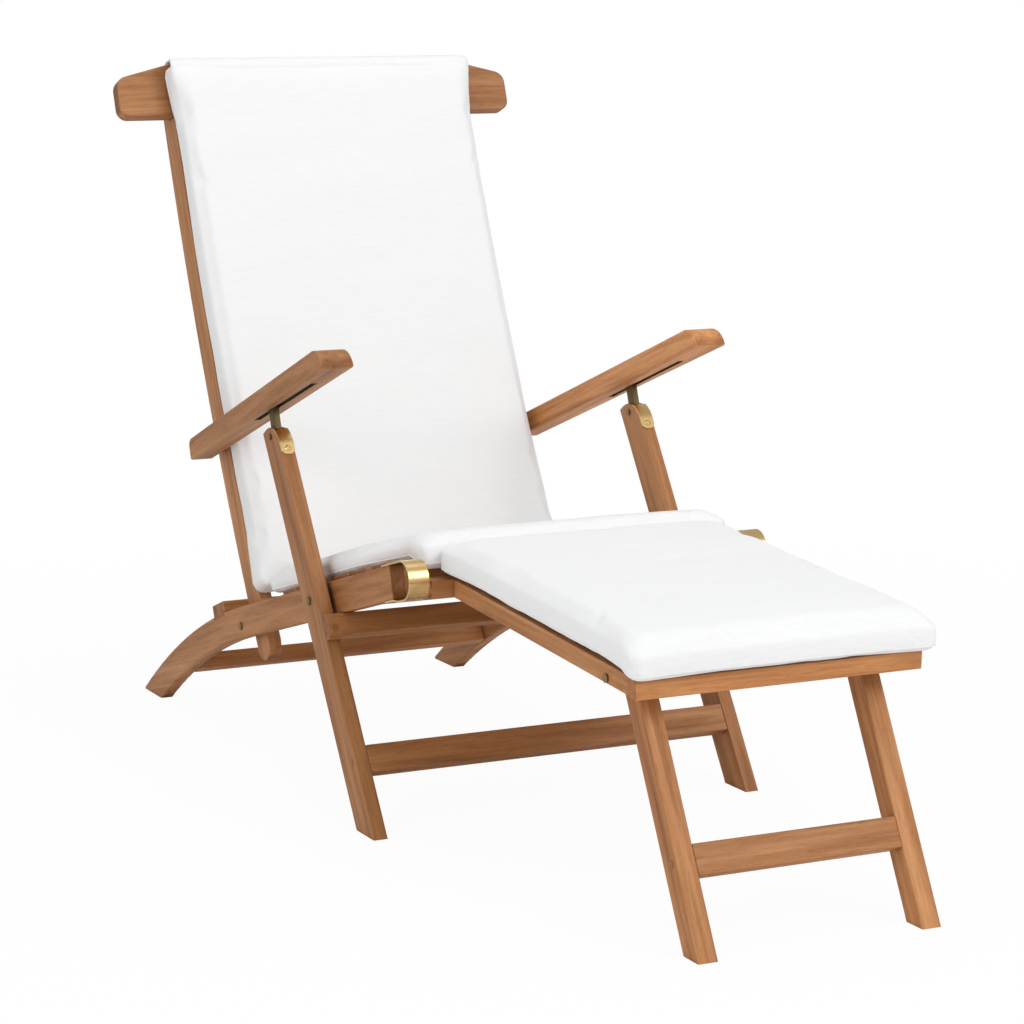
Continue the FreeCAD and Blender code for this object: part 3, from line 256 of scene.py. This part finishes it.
def brass(name, tone=1.0, rough=0.24):
    """Polished brass: fine drawing lines along the strip, a faint cloud, and painted shade in its
    crevices.
    """
    mat, nodes, links, shader = new_material(name)
    _, lengths = lengths_along(nodes, links, ((1, 0, 0), (0, 1, 0), (0, 0, 1)))
    cloud = noise_node(nodes, links, grain_vector(nodes, links, lengths, (35, 35, 35), 2), 2)
    lines = noise_node(nodes, links, grain_vector(nodes, links, lengths, (1800, 60, 60), 4), 2)
    color = ramp(nodes, links, cloud, [
        (0.3, (0.66 * tone, 0.44 * tone, 0.18 * tone)),
        (0.65, (0.80 * tone, 0.57 * tone, 0.27 * tone)),
    ])
    # Painted shade: the brass is darker where surfaces meet within 4 mm, from ambient occlusion
    color = paint_crevice_shade(nodes, links, color, 0.8, 0.004, (0.3, 0.24, 0.18), 0.7)
    links.new(color, shader.inputs["Base Color"])
    shader.inputs["Metallic"].default_value = 1.0
    roughness = ramp(nodes, links, cloud, [(0.3, (rough + 0.08,) * 3), (0.65, (rough,) * 3)])
    links.new(roughness, shader.inputs["Roughness"])
    bump = bump_node(nodes, links, lines, 0.06, 0.0001)
    links.new(bump.outputs[0], shader.inputs["Normal"])
    return mat


def canvas(name, along, tone=0.85, weave=0.0011):
    """White woven cover: a plain weave, faint slubs and soft creases."""
    mat, nodes, links, shader = new_material(name)
    third = Vector((1, 0, 0)).cross(Vector(along))
    _, lengths = lengths_along(nodes, links, ((1, 0, 0), along, third))
    turns = 2 * math.pi / weave
    waves = [math_node(nodes, links, "SINE", math_node(nodes, links, "MULTIPLY", length, turns))
             for length in lengths[:2]]
    cloth = math_node(nodes, links, "MULTIPLY", waves[0], waves[1])
    slub = noise_node(nodes, links, grain_vector(nodes, links, lengths, (40, 900, 300), 1), 3)
    crease_grain = grain_vector(nodes, links, lengths, (5, 16, 10), 6)
    crease = noise_node(nodes, links, crease_grain, 3, 0.5, 0.3)
    color = ramp(nodes, links, slub, [(0.3, (tone * 0.965,) * 3),
                                      (0.6, (tone, tone, tone * 0.995))])
    links.new(color, shader.inputs["Base Color"])
    shader.inputs["Roughness"].default_value = 0.92
    shader.inputs["Specular IOR Level"].default_value = 0.15
    shader.inputs["Sheen Weight"].default_value = 0.15
    fine = bump_node(nodes, links, math_node(nodes, links, "ADD", cloth, slub), 0.25, 0.00025)
    soft = bump_node(nodes, links, crease, 0.5, 0.004)
    links.new(soft.outputs[0], fine.inputs["Normal"])
    links.new(fine.outputs[0], shader.inputs["Normal"])
    return mat


# Camera, at the photograph's viewing angle


CAMERA_ANGLES = (-25.60, 9.48, -0.21)
CAMERA_PLACE = (-1.6758, -3.4885, 1.0061)
CAMERA_LENS = 108.02


def add_camera():
    azimuth, elevation, roll = (math.radians(angle) for angle in CAMERA_ANGLES)
    level = math.cos(elevation)
    back = Vector((math.sin(azimuth) * level, -math.cos(azimuth) * level, math.sin(elevation)))
    right = Vector((math.cos(azimuth), math.sin(azimuth), 0))
    up = back.cross(right)
    right_rolled = math.cos(roll) * right + math.sin(roll) * up
    up_rolled = -math.sin(roll) * right + math.cos(roll) * up
    data = bpy.data.cameras.new("camera")
    data.sensor_width = 36
    data.lens = CAMERA_LENS
    data.clip_end = 50
    camera = bpy.data.objects.new("camera", data)
    turned = Matrix((right_rolled, up_rolled, back)).transposed().to_4x4()
    camera.matrix_world = Matrix.Translation(CAMERA_PLACE) @ turned
    bpy.context.scene.collection.objects.link(camera)
    bpy.context.scene.camera = camera


add_camera()

# Timber and brass of the carried-over nodes

CROSS = (1, 0, 0)


def lengthwise(direction):
    return (0, direction[0], direction[1])


ALONG = {
    "seat_rail": lengthwise(FORWARD_SEAT), "front_leg": lengthwise(UP_LEG),
    "back_stile": lengthwise(UP_BACK), "armrest": lengthwise((-UP_ARM[1], UP_ARM[0])),
    "footrest_rail": lengthwise(FORWARD_FOOT), "footrest_leg": lengthwise(UP_FOOT_LEG),
}
# How much lighter or darker each board is than plain teak: partly the board's own tone, and partly
# painted light and shade, lighter where its seen faces are lit and darker where they are shaded
BOARD_TONES_AND_PAINTED_LIGHT = {
    "crest_board": 0.84, "left_armrest": 0.78, "right_armrest": 1.35, "front_leg": 0.86,
    "seat_rail": 0.94, "apron_board": 0.86, "front_stretcher": 0.86, "footrest_stretcher": 0.9,
    "footrest_front_board": 1.32, "footrest_leg": 1.04, "rear_stretcher": 0.92,
    "rear_cross_rail": 1.1,
}
CLOTH = ("seat_cushion", "back_cushion", "footrest_cushion")
# Each kind of brass with the words in the names of its pieces, tried from the top
BRASS = (
    (brass("brass_polished"), ("footrest_loop", "leg_cap", "screws")),
    (brass("brass_dull", 0.36, 0.42), ("bolts", "pins", "washers", "spacers", "arm_channel")),
    (brass("brass_dark", 0.16, 0.42), ("arm_tongue",)),
)


def paint(obj, mat):
    obj.data.materials.clear()
    obj.data.materials.append(mat)


def paint_nodes():
    names = sorted(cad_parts)
    for i, name in enumerate(names):
        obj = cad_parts[name]
        if name in CLOTH:
            continue
        metal = [mat for mat, words in BRASS if any(word in name for word in words)]
        if metal:
            paint(obj, metal[0])
            continue
        kind = name.split("_", 1)[1] if name.startswith(("left_", "right_")) else ""
        along = ALONG.get(kind, CROSS)
        side = (1, 0, 0) if kind in ALONG else (0, 1, 0)
        # The tone is partly the board's own and partly painted light and shade
        tone = BOARD_TONES_AND_PAINTED_LIGHT.get(name, BOARD_TONES_AND_PAINTED_LIGHT.get(kind, 1.0)) * random.uniform(0.95, 1.05)
        paint(obj, teak("teak_" + name, along, side, 1.7 * i + 0.3, tone))


paint_nodes()

# Cushion panels. Each is made flat, as x across, w along and h up from the slats, and then laid
# on its slats.


def link(obj):
    bpy.context.scene.collection.objects.link(obj)
    return obj


def mesh_object(name, bm):
    mesh = bpy.data.meshes.new(name)
    bm.to_mesh(mesh)
    bm.free()
    return link(bpy.data.objects.new(name, mesh))


def evaluated_mesh(obj):
    graph = bpy.context.evaluated_depsgraph_get()
    return bpy.data.meshes.new_from_object(obj.evaluated_get(graph))


def rounded_box(name, half, start, end, thick, corner, radius):
    """Box with rounded upright corners and softly rounded edges."""
    bm = bmesh.new()
    bmesh.ops.create_cube(bm, size=1)
    for vert in bm.verts:
        vert.co = Vector((vert.co.x * 2 * half, start + (vert.co.y + 0.5) * (end - start),
                          (vert.co.z + 0.5) * thick))
    upright = [e for e in bm.edges if abs(e.verts[0].co.z - e.verts[1].co.z) > thick / 2]
    bmesh.ops.bevel(bm, geom=upright, offset=corner, segments=6, profile=0.5, affect="EDGES")
    rims = [e for e in bm.edges if abs(e.verts[0].co.z - e.verts[1].co.z) < 1e-6
            and len(e.link_faces) == 2
            and abs(e.link_faces[0].normal.z - e.link_faces[1].normal.z) > 0.5]
    bmesh.ops.bevel(bm, geom=rims, offset=radius, segments=4, profile=0.5, affect="EDGES")
    return mesh_object(name, bm)


VOXEL = 0.006
SWELL_PRESSURE = 2.6
SWELL_FRAMES = 20


def puff(obj, cap):
    """Swell the panel as cloth under pressure, with no point moving further than the cap."""
    remesh = obj.modifiers.new("even", "REMESH")
    remesh.mode = "VOXEL"
    remesh.voxel_size = VOXEL
    flat = evaluated_mesh(obj)
    obj.modifiers.clear()
    obj.data = flat
    cloth = obj.modifiers.new("cloth", "CLOTH")
    cloth.settings.use_pressure = True
    cloth.settings.uniform_pressure_force = SWELL_PRESSURE
    cloth.settings.effector_weights.gravity = 0
    cloth.settings.quality = 5
    scene = bpy.context.scene
    scene.frame_start, scene.frame_end = 1, SWELL_FRAMES
    for number in range(1, SWELL_FRAMES + 1):
        scene.frame_set(number)
    swollen = evaluated_mesh(obj)
    obj.modifiers.clear()
    for before, after in zip(flat.vertices, swollen.vertices):
        move = after.co - before.co
        if move.length > cap:
            after.co = before.co + move * (cap / move.length)
    obj.data = swollen
    scene.frame_set(1)


CREASE_BROAD = 0.0016
CREASE_FINE = 0.0006
SIDE_PULL = 0.012


def shape_panel(obj, half_at, start, end, thick, crown):
    """Keep the panel to its width and height, flat below, crowned above, with faint creases."""
    tops = max(v.co.z for v in obj.data.vertices)
    widest = max(abs(v.co.x) for v in obj.data.vertices)
    low = min(v.co.y for v in obj.data.vertices)
    high = max(v.co.y for v in obj.data.vertices)
    for vert in obj.data.vertices:
        co = vert.co
        w = start + (co.y - low) / (high - low) * (end - start)
        x = co.x / widest
        middle = (1 - x ** 4) * (1 - abs(2 * (w - start) / (end - start) - 1) ** 6)
        h = max(co.z, 0.0) / tops * thick + crown * middle * (co.z / tops > 0.6)
        crease = noise.noise(Vector((co.x * 5, w * 17, 3.0))) * CREASE_BROAD
        crease += noise.noise(Vector((co.x * 22, w * 26, 9.0))) * CREASE_FINE
        if h > thick * 0.5:
            h += crease * middle
        squeeze = 1 - SIDE_PULL * noise.noise(Vector((w * 9, h * 30, co.x)))
        vert.co = Vector((x * half_at(w) * min(squeeze, 1.0), w, max(h, 0.0)))


SEAM_POINTS = 420


def seam_points(tree, half_at, start, end, height):
    """Closed line round the panel at this height, on its surface."""
    middle = (start + end) / 2
    points = []
    for i in range(SEAM_POINTS):
        angle = 2 * math.pi * i / SEAM_POINTS
        c, s = math.cos(angle), math.sin(angle)
        across = abs(c) / (half_at(middle) * 1.1)
        lengthways = abs(s) / ((end - start) / 2 * 1.1)
        reach = 1.2 / max(across, lengthways, 1e-6)
        origin = Vector((c * reach, middle + s * reach, height))
        target = Vector((c * reach * 0.2, middle + s * reach * 0.2, height))
        hit = tree.ray_cast(origin, (target - origin).normalized())
        if hit[0] is not None:
            points.append(hit[0])
    return points


def cord_mesh(points, radius):
    """A round closed cord along the points, as a mesh."""
    data = bpy.data.curves.new("seam", "CURVE")
    data.dimensions = "3D"
    data.bevel_depth = radius
    data.bevel_resolution = 2
    spline = data.splines.new("POLY")
    spline.points.add(len(points) - 1)
    for point, co in zip(spline.points, points):
        point.co = (*co, 1)
    spline.use_cyclic_u = True
    holder = link(bpy.data.objects.new("seam", data))
    mesh = evaluated_mesh(holder)
    bpy.data.objects.remove(holder)
    return mesh


def finish_panel(obj, seam, place, materials):
    """Subdivide, join the seam's cord, and lay the flat panel on its place on the chair."""
    smooth = obj.modifiers.new("smooth", "SUBSURF")
    smooth.levels = smooth.render_levels = 1
    fine = evaluated_mesh(obj)
    obj.modifiers.clear()
    joined = bmesh.new()
    joined.from_mesh(fine)
    first = len(joined.faces)
    joined.from_mesh(seam)
    joined.faces.ensure_lookup_table()
    for i, face in enumerate(joined.faces):
        face.smooth = True
        face.material_index = 0 if i < first else 1
    for vert in joined.verts:
        y, z = place(vert.co.y, vert.co.z)
        vert.co = Vector((vert.co.x, y, z))
    mesh = bpy.data.meshes.new(obj.name)
    joined.to_mesh(mesh)
    joined.free()
    obj.data = mesh
    for mat in materials:
        mesh.materials.append(mat)


# Shares of the panel's thickness: the seam's height, the edge's radius, the box before it swells
SEAM_SHARE = 0.16
EDGE_SHARE = 0.2
BOX_SHARE = 0.86
SEAM_RADIUS = 0.0011
INSET = 0.006


def panel(name, half_at, start, end, thick, crown, corner, cap, place, along, body, node):
    """A cushion panel on its place, riding on its body in the place of the solid."""
    half = max(half_at(start), half_at(end)) - INSET
    obj = rounded_box(name, half, start + INSET, end - INSET, thick * BOX_SHARE, corner,
                      thick * EDGE_SHARE)
    puff(obj, cap)
    shape_panel(obj, half_at, start, end, thick, crown)
    mesh = obj.data
    tree = BVHTree.FromPolygons([v.co for v in mesh.vertices], [p.vertices for p in mesh.polygons])
    points = seam_points(tree, half_at, start, end, thick * SEAM_SHARE)
    # The piping cord is a shade darker than the cover: partly its thread's colour, partly painted
    # shade along the seam
    finish_panel(obj, cord_mesh(points, SEAM_RADIUS), place,
                 [canvas("canvas_" + name, along), canvas("piping_" + name, along, 0.82, 0.0016)])
    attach(obj, body)
    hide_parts(node)
    return obj


SLAT = 0.006
REST = 0.0004
RAIL_HALF = 0.021
FOOT_RAIL_HALF = 0.011
# The seat panel's front end: where its fall starts and over what length, how far it falls, and
# how much fuller and further forward it is, as shares of the height
SEAT_FALL_FROM = 0.026
SEAT_FALL_LONG = 0.052
SEAT_FALL = 0.018
SEAT_FULLER = 0.36
SEAT_FORWARD = 0.24
# The footrest panel's front edge, in the same way
FOOT_FALL_FROM = 0.462
FOOT_FALL_LONG = 0.03
FOOT_FALL = 0.005


def ease_in(x):
    """0 below 0, 1 above 1, and smooth between."""
    x = min(max(x, 0.0), 1.0)
    return x * x * (3 - 2 * x)


def seat_place(w, h):
    """On the seat: the front end droops over the front rail, and is fuller and leans forward."""
    end = ease_in((SEAT_FALL_FROM - w) / SEAT_FALL_LONG)
    high = RAIL_HALF + SLAT + REST + h * (1 + SEAT_FULLER * end) - SEAT_FALL * end
    return at(RAIL_END, BACK_SEAT, w - SEAT_FORWARD * h * end, UP_SEAT, high)


def footrest_place(w, h):
    """On the footrest, with the front edge drooping over the front board."""
    end = ease_in((w - FOOT_FALL_FROM) / FOOT_FALL_LONG)
    return at(BAR, FORWARD_FOOT, w, UP_FOOT, FOOT_RAIL_HALF + SLAT + REST + h - FOOT_FALL * end)


def back_place(w, h):
    """On the curved back, in front of its slats."""
    return at(on_back(w, STILE_DEPTH + SLAT + 2 * REST), back_facing(w), h)


def move_x(obj, shift):
    obj.data.transform(Matrix.Translation((shift, 0, 0)))


seat_pad = panel("seat_pad", lambda w: 0.211 + 0.029 * ease_in((w - 0.015) / 0.12), -0.026, 0.428,
                 0.031, 0.002, 0.014, 0.010, seat_place, lengthwise(BACK_SEAT), "seat_frame",
                 "seat_cushion")
footrest_pad = panel("footrest_pad", lambda w: 0.193, -0.007, 0.499, 0.041, 0.005, 0.014, 0.010,
                     footrest_place, lengthwise(FORWARD_FOOT), "footrest", "footrest_cushion")
BACK_SHIFT = -0.003
back_pad = panel("back_pad", lambda w: 0.231, 0.032, 0.801, 0.045, 0.004, 0.014, 0.012,
                 back_place, lengthwise(UP_BACK), "backrest", "back_cushion")
move_x(back_pad, BACK_SHIFT)

# The cushion's hood: a strap of cloth from the top of the back panel, over the crest board and
# the ends of the stiles, and down behind them


def smooth_line(points, rounds=3):
    """Round the corners of a line by cutting them again and again."""
    for _ in range(rounds):
        cut = [points[0]]
        for a, b in zip(points, points[1:]):
            cut.append((a[0] * 0.75 + b[0] * 0.25, a[1] * 0.75 + b[1] * 0.25))
            cut.append((a[0] * 0.25 + b[0] * 0.75, a[1] * 0.25 + b[1] * 0.75))
        cut.append(points[-1])
        points = cut
    return points


def along_line(points, step):
    """Points at an even step along the line."""
    out = [points[0]]
    need = step
    for a, b in zip(points, points[1:]):
        length = math.dist(a, b)
        went = 0.0
        while length - went >= need:
            went += need
            share = went / length
            out.append((a[0] + (b[0] - a[0]) * share, a[1] + (b[1] - a[1]) * share))
            need = step
        need -= length - went
    return out


# Distances up the back, and the crest board's section
CREST_FOOT_S = 0.7349
CREST_TOP_S = 0.790
STILE_TOP_S = 0.790
CREST_HIGH = 0.080
CREST_THICK = 0.022
# The strap: how far it stands off the wood, half its width, the rounding of its upper corners,
# its thickness, the number of points across it and the height of its ripples
HOOD_OFF = 0.0026
HOOD_HALF = 0.2285
CORNER = 0.013
HOOD_CLOTH = 0.0022
HOOD_COLUMNS = 93
HOOD_RIPPLE = 0.0008
# Where it leaves the panel, as the distance up the back and the height in front of the slats,
# and the distances up the back of its rear part
HOOD_INSIDE = (0.780, 0.030)
HOOD_SHOULDER = (0.8025, 0.036)
HOOD_HEM = (0.74, 0.70, 0.66)


def hood_line():
    """The strap's middle line in the side view, from inside the panel's top to its lower hem."""
    bend = math.asin((CREST_TOP_S - CURVE_MIDDLE) / (CURVE - STILE_DEPTH))
    lean = BACK_LEAN - math.degrees(bend)
    up, front = turn(lean)
    foot = on_back(CREST_FOOT_S, STILE_DEPTH)
    top_front = at(foot, up, CREST_HIGH + HOOD_OFF, front, HOOD_OFF)
    top_rear = at(foot, up, CREST_HIGH + HOOD_OFF, front, -CREST_THICK - HOOD_OFF)
    stile_rear = on_back(STILE_TOP_S + HOOD_OFF, -HOOD_OFF)
    hem = [on_back(s, -HOOD_OFF) for s in HOOD_HEM]
    front_part = [back_place(*HOOD_INSIDE), back_place(*HOOD_SHOULDER)]
    line = front_part + [top_front, top_rear, stile_rear] + hem
    return along_line(smooth_line(line), 0.004)


def hood():
    """The strap as a thin solid cloth, with faint ripples and rolled side hems."""
    line = hood_line()
    top = max(point[1] for point in line)
    first = next(j for j, point in enumerate(line) if point[1] > top - CORNER)
    last = max(j for j, point in enumerate(line) if point[1] > top - 0.0005)
    bm = bmesh.new()
    rows = []
    for j, point in enumerate(line):
        before, after = line[max(j - 1, 0)], line[min(j + 1, len(line) - 1)]
        run = (after[0] - before[0], after[1] - before[1])
        size = math.hypot(*run)
        out = (-run[1] / size, run[0] / size)
        along = min(max((j - first) / (last - first), 0), 1)
        half = HOOD_HALF - CORNER * (1 - math.sqrt(max(1 - along ** 2, 0)))
        pair = []
        for face in (1, -1):
            row = []
            for i in range(HOOD_COLUMNS):
                u = 2 * i / (HOOD_COLUMNS - 1) - 1
                edge = math.sqrt(max(1 - max((abs(u) - 0.994) / 0.006, 0) ** 2, 0))
                ripple = noise.noise(Vector((u * 6, j * 0.16, 5.0))) * HOOD_RIPPLE
                off = face * HOOD_CLOTH / 2 * (0.35 + 0.65 * edge) + max(ripple, 0)
                row.append(bm.verts.new((u * half, point[0] + out[0] * off,
                                         point[1] + out[1] * off)))
            pair.append(row)
        rows.append(pair)
    for a, b in zip(rows, rows[1:]):
        for face in (0, 1):
            for i in range(HOOD_COLUMNS - 1):
                bm.faces.new((a[face][i], a[face][i + 1], b[face][i + 1], b[face][i]))
        for i in (0, HOOD_COLUMNS - 1):
            bm.faces.new((a[0][i], b[0][i], b[1][i], a[1][i]))
    for pair in (rows[0], rows[-1]):
        for i in range(HOOD_COLUMNS - 1):
            bm.faces.new((pair[0][i], pair[0][i + 1], pair[1][i + 1], pair[1][i]))
    bmesh.ops.recalc_face_normals(bm, faces=bm.faces)
    for face in bm.faces:
        face.smooth = True
    obj = mesh_object("back_pad_hood", bm)
    move_x(obj, BACK_SHIFT)
    paint(obj, canvas("canvas_hood", lengthwise(UP_BACK)))
    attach(obj, "backrest")


hood()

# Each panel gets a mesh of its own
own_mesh(back_pad)
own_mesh(seat_pad)
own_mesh(footrest_pad)

# Wooden plugs over the screws of the apron board and the stretchers

PLUG_RADIUS = 0.0045
PLUG_HIGH = 0.0012
# Each plug's distance below the leg's pivot, in front of it, and from the chair's middle
APRON_PLUG = (0.053, 0.038, 0.2595)
STRETCHER_PLUG = (0.2223, 0.013, 0.269)
FOOT_PLUG = (0.212, 0.005, 0.1524)


def plug(name, body, x, point, normal):
    bm = bmesh.new()
    bmesh.ops.create_cone(bm, cap_ends=True, segments=28, radius1=PLUG_RADIUS,
                          radius2=PLUG_RADIUS * 0.93, depth=PLUG_HIGH)
    obj = mesh_object(name, bm)
    direction = Vector(normal).normalized()
    turned = Vector((0, 0, 1)).rotation_difference(direction).to_matrix().to_4x4()
    spot = Vector((x, point[0], point[1])) + direction * 0.0002
    obj.data.transform(Matrix.Translation(spot) @ turned)
    paint(obj, plug_wood)
    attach(obj, body)


plug_wood = teak("teak_plug", lengthwise(UP_SEAT), (1, 0, 0), 41.0, 0.72)


def add_plugs():
    front = lengthwise(FRONT_LEG)
    for name, side in (("left", -1), ("right", 1)):
        below, before, out = APRON_PLUG
        spot = at(LEG_PIVOT, UP_LEG, -below, FRONT_LEG, before)
        plug(name + "_apron_plug", "front_legs", side * out, spot, front)
        below, before, out = STRETCHER_PLUG
        spot = at(LEG_PIVOT, UP_LEG, -below, FRONT_LEG, before)
        plug(name + "_stretcher_plug", "front_legs", side * out, spot, (side, 0, 0))
        below, before, out = FOOT_PLUG
        spot = at(FOOT_PIVOT, UP_FOOT_LEG, -below, FRONT_FOOT_LEG, before)
        plug(name + "_footrest_stretcher_plug", "footrest_legs", side * out, spot, (side, 0, 0))


add_plugs()

# Studio


# How much of the floor is plain white to the camera, near the chair and far from it
WHITE_NEAR = 0.95
WHITE_FAR = 1.0
WORLD_LIGHT = 0.56
# Name, place, target, size and power of each light
LIGHTS = (
    ("key", (1.4, -3.2, 2.7), (0, 0, 0.4), 2.2, 62),
    ("fill", (-3.2, -1.6, 1.6), (0, 0, 0.4), 2.4, 27),
    ("top", (-0.2, 0.2, 3.6), (0, 0, 0.3), 2.6, 30),
)


def add_floor():
    bm = bmesh.new()
    bmesh.ops.create_grid(bm, x_segments=1, y_segments=1, size=9)
    floor = mesh_object("floor", bm)
    mat, nodes, links, shader = new_material("floor_white")
    shader.inputs["Base Color"].default_value = (0.92, 0.92, 0.92, 1)
    shader.inputs["Roughness"].default_value = 0.9
    glow = nodes.new("ShaderNodeEmission")
    glow.inputs["Strength"].default_value = 1.0
    path = nodes.new("ShaderNodeLightPath")
    coords = nodes.new("ShaderNodeTexCoord")
    distance = nodes.new("ShaderNodeVectorMath")
    distance.operation = "LENGTH"
    links.new(coords.outputs["Object"], distance.inputs[0])
    white = ramp(nodes, links, math_node(nodes, links, "MULTIPLY", distance.outputs["Value"], 0.4),
                 [(0.36, (WHITE_NEAR,) * 3), (0.8, (WHITE_FAR,) * 3)])
    share = math_node(nodes, links, "MULTIPLY", path.outputs["Is Camera Ray"], white)
    mix_shaders(nodes, links, share, shader, glow)
    paint(floor, mat)


def add_world():
    world = bpy.data.worlds.new("studio")
    bpy.context.scene.world = world
    world.use_nodes = True
    nodes, links = world.node_tree.nodes, world.node_tree.links
    nodes.clear()
    nodes.new("ShaderNodeOutputWorld")
    seen = nodes.new("ShaderNodeBackground")
    seen.inputs[0].default_value = (1, 1, 1, 1)
    seen.inputs[1].default_value = 1.0
    lit = nodes.new("ShaderNodeBackground")
    lit.inputs[0].default_value = (0.98, 0.99, 1, 1)
    lit.inputs[1].default_value = WORLD_LIGHT
    path = nodes.new("ShaderNodeLightPath")
    mix_shaders(nodes, links, path.outputs["Is Camera Ray"], lit, seen)


def add_light(name, location, target, size, power):
    data = bpy.data.lights.new(name, "AREA")
    data.shape = "DISK"
    data.size = size
    data.energy = power
    light = link(bpy.data.objects.new(name, data))
    light.location = location
    aim = Vector(target) - Vector(location)
    light.rotation_euler = aim.to_track_quat("-Z", "Y").to_euler()


add_floor()
add_world()
for values in LIGHTS:
    add_light(*values)
bpy.context.scene.view_settings.view_transform = "Standard"
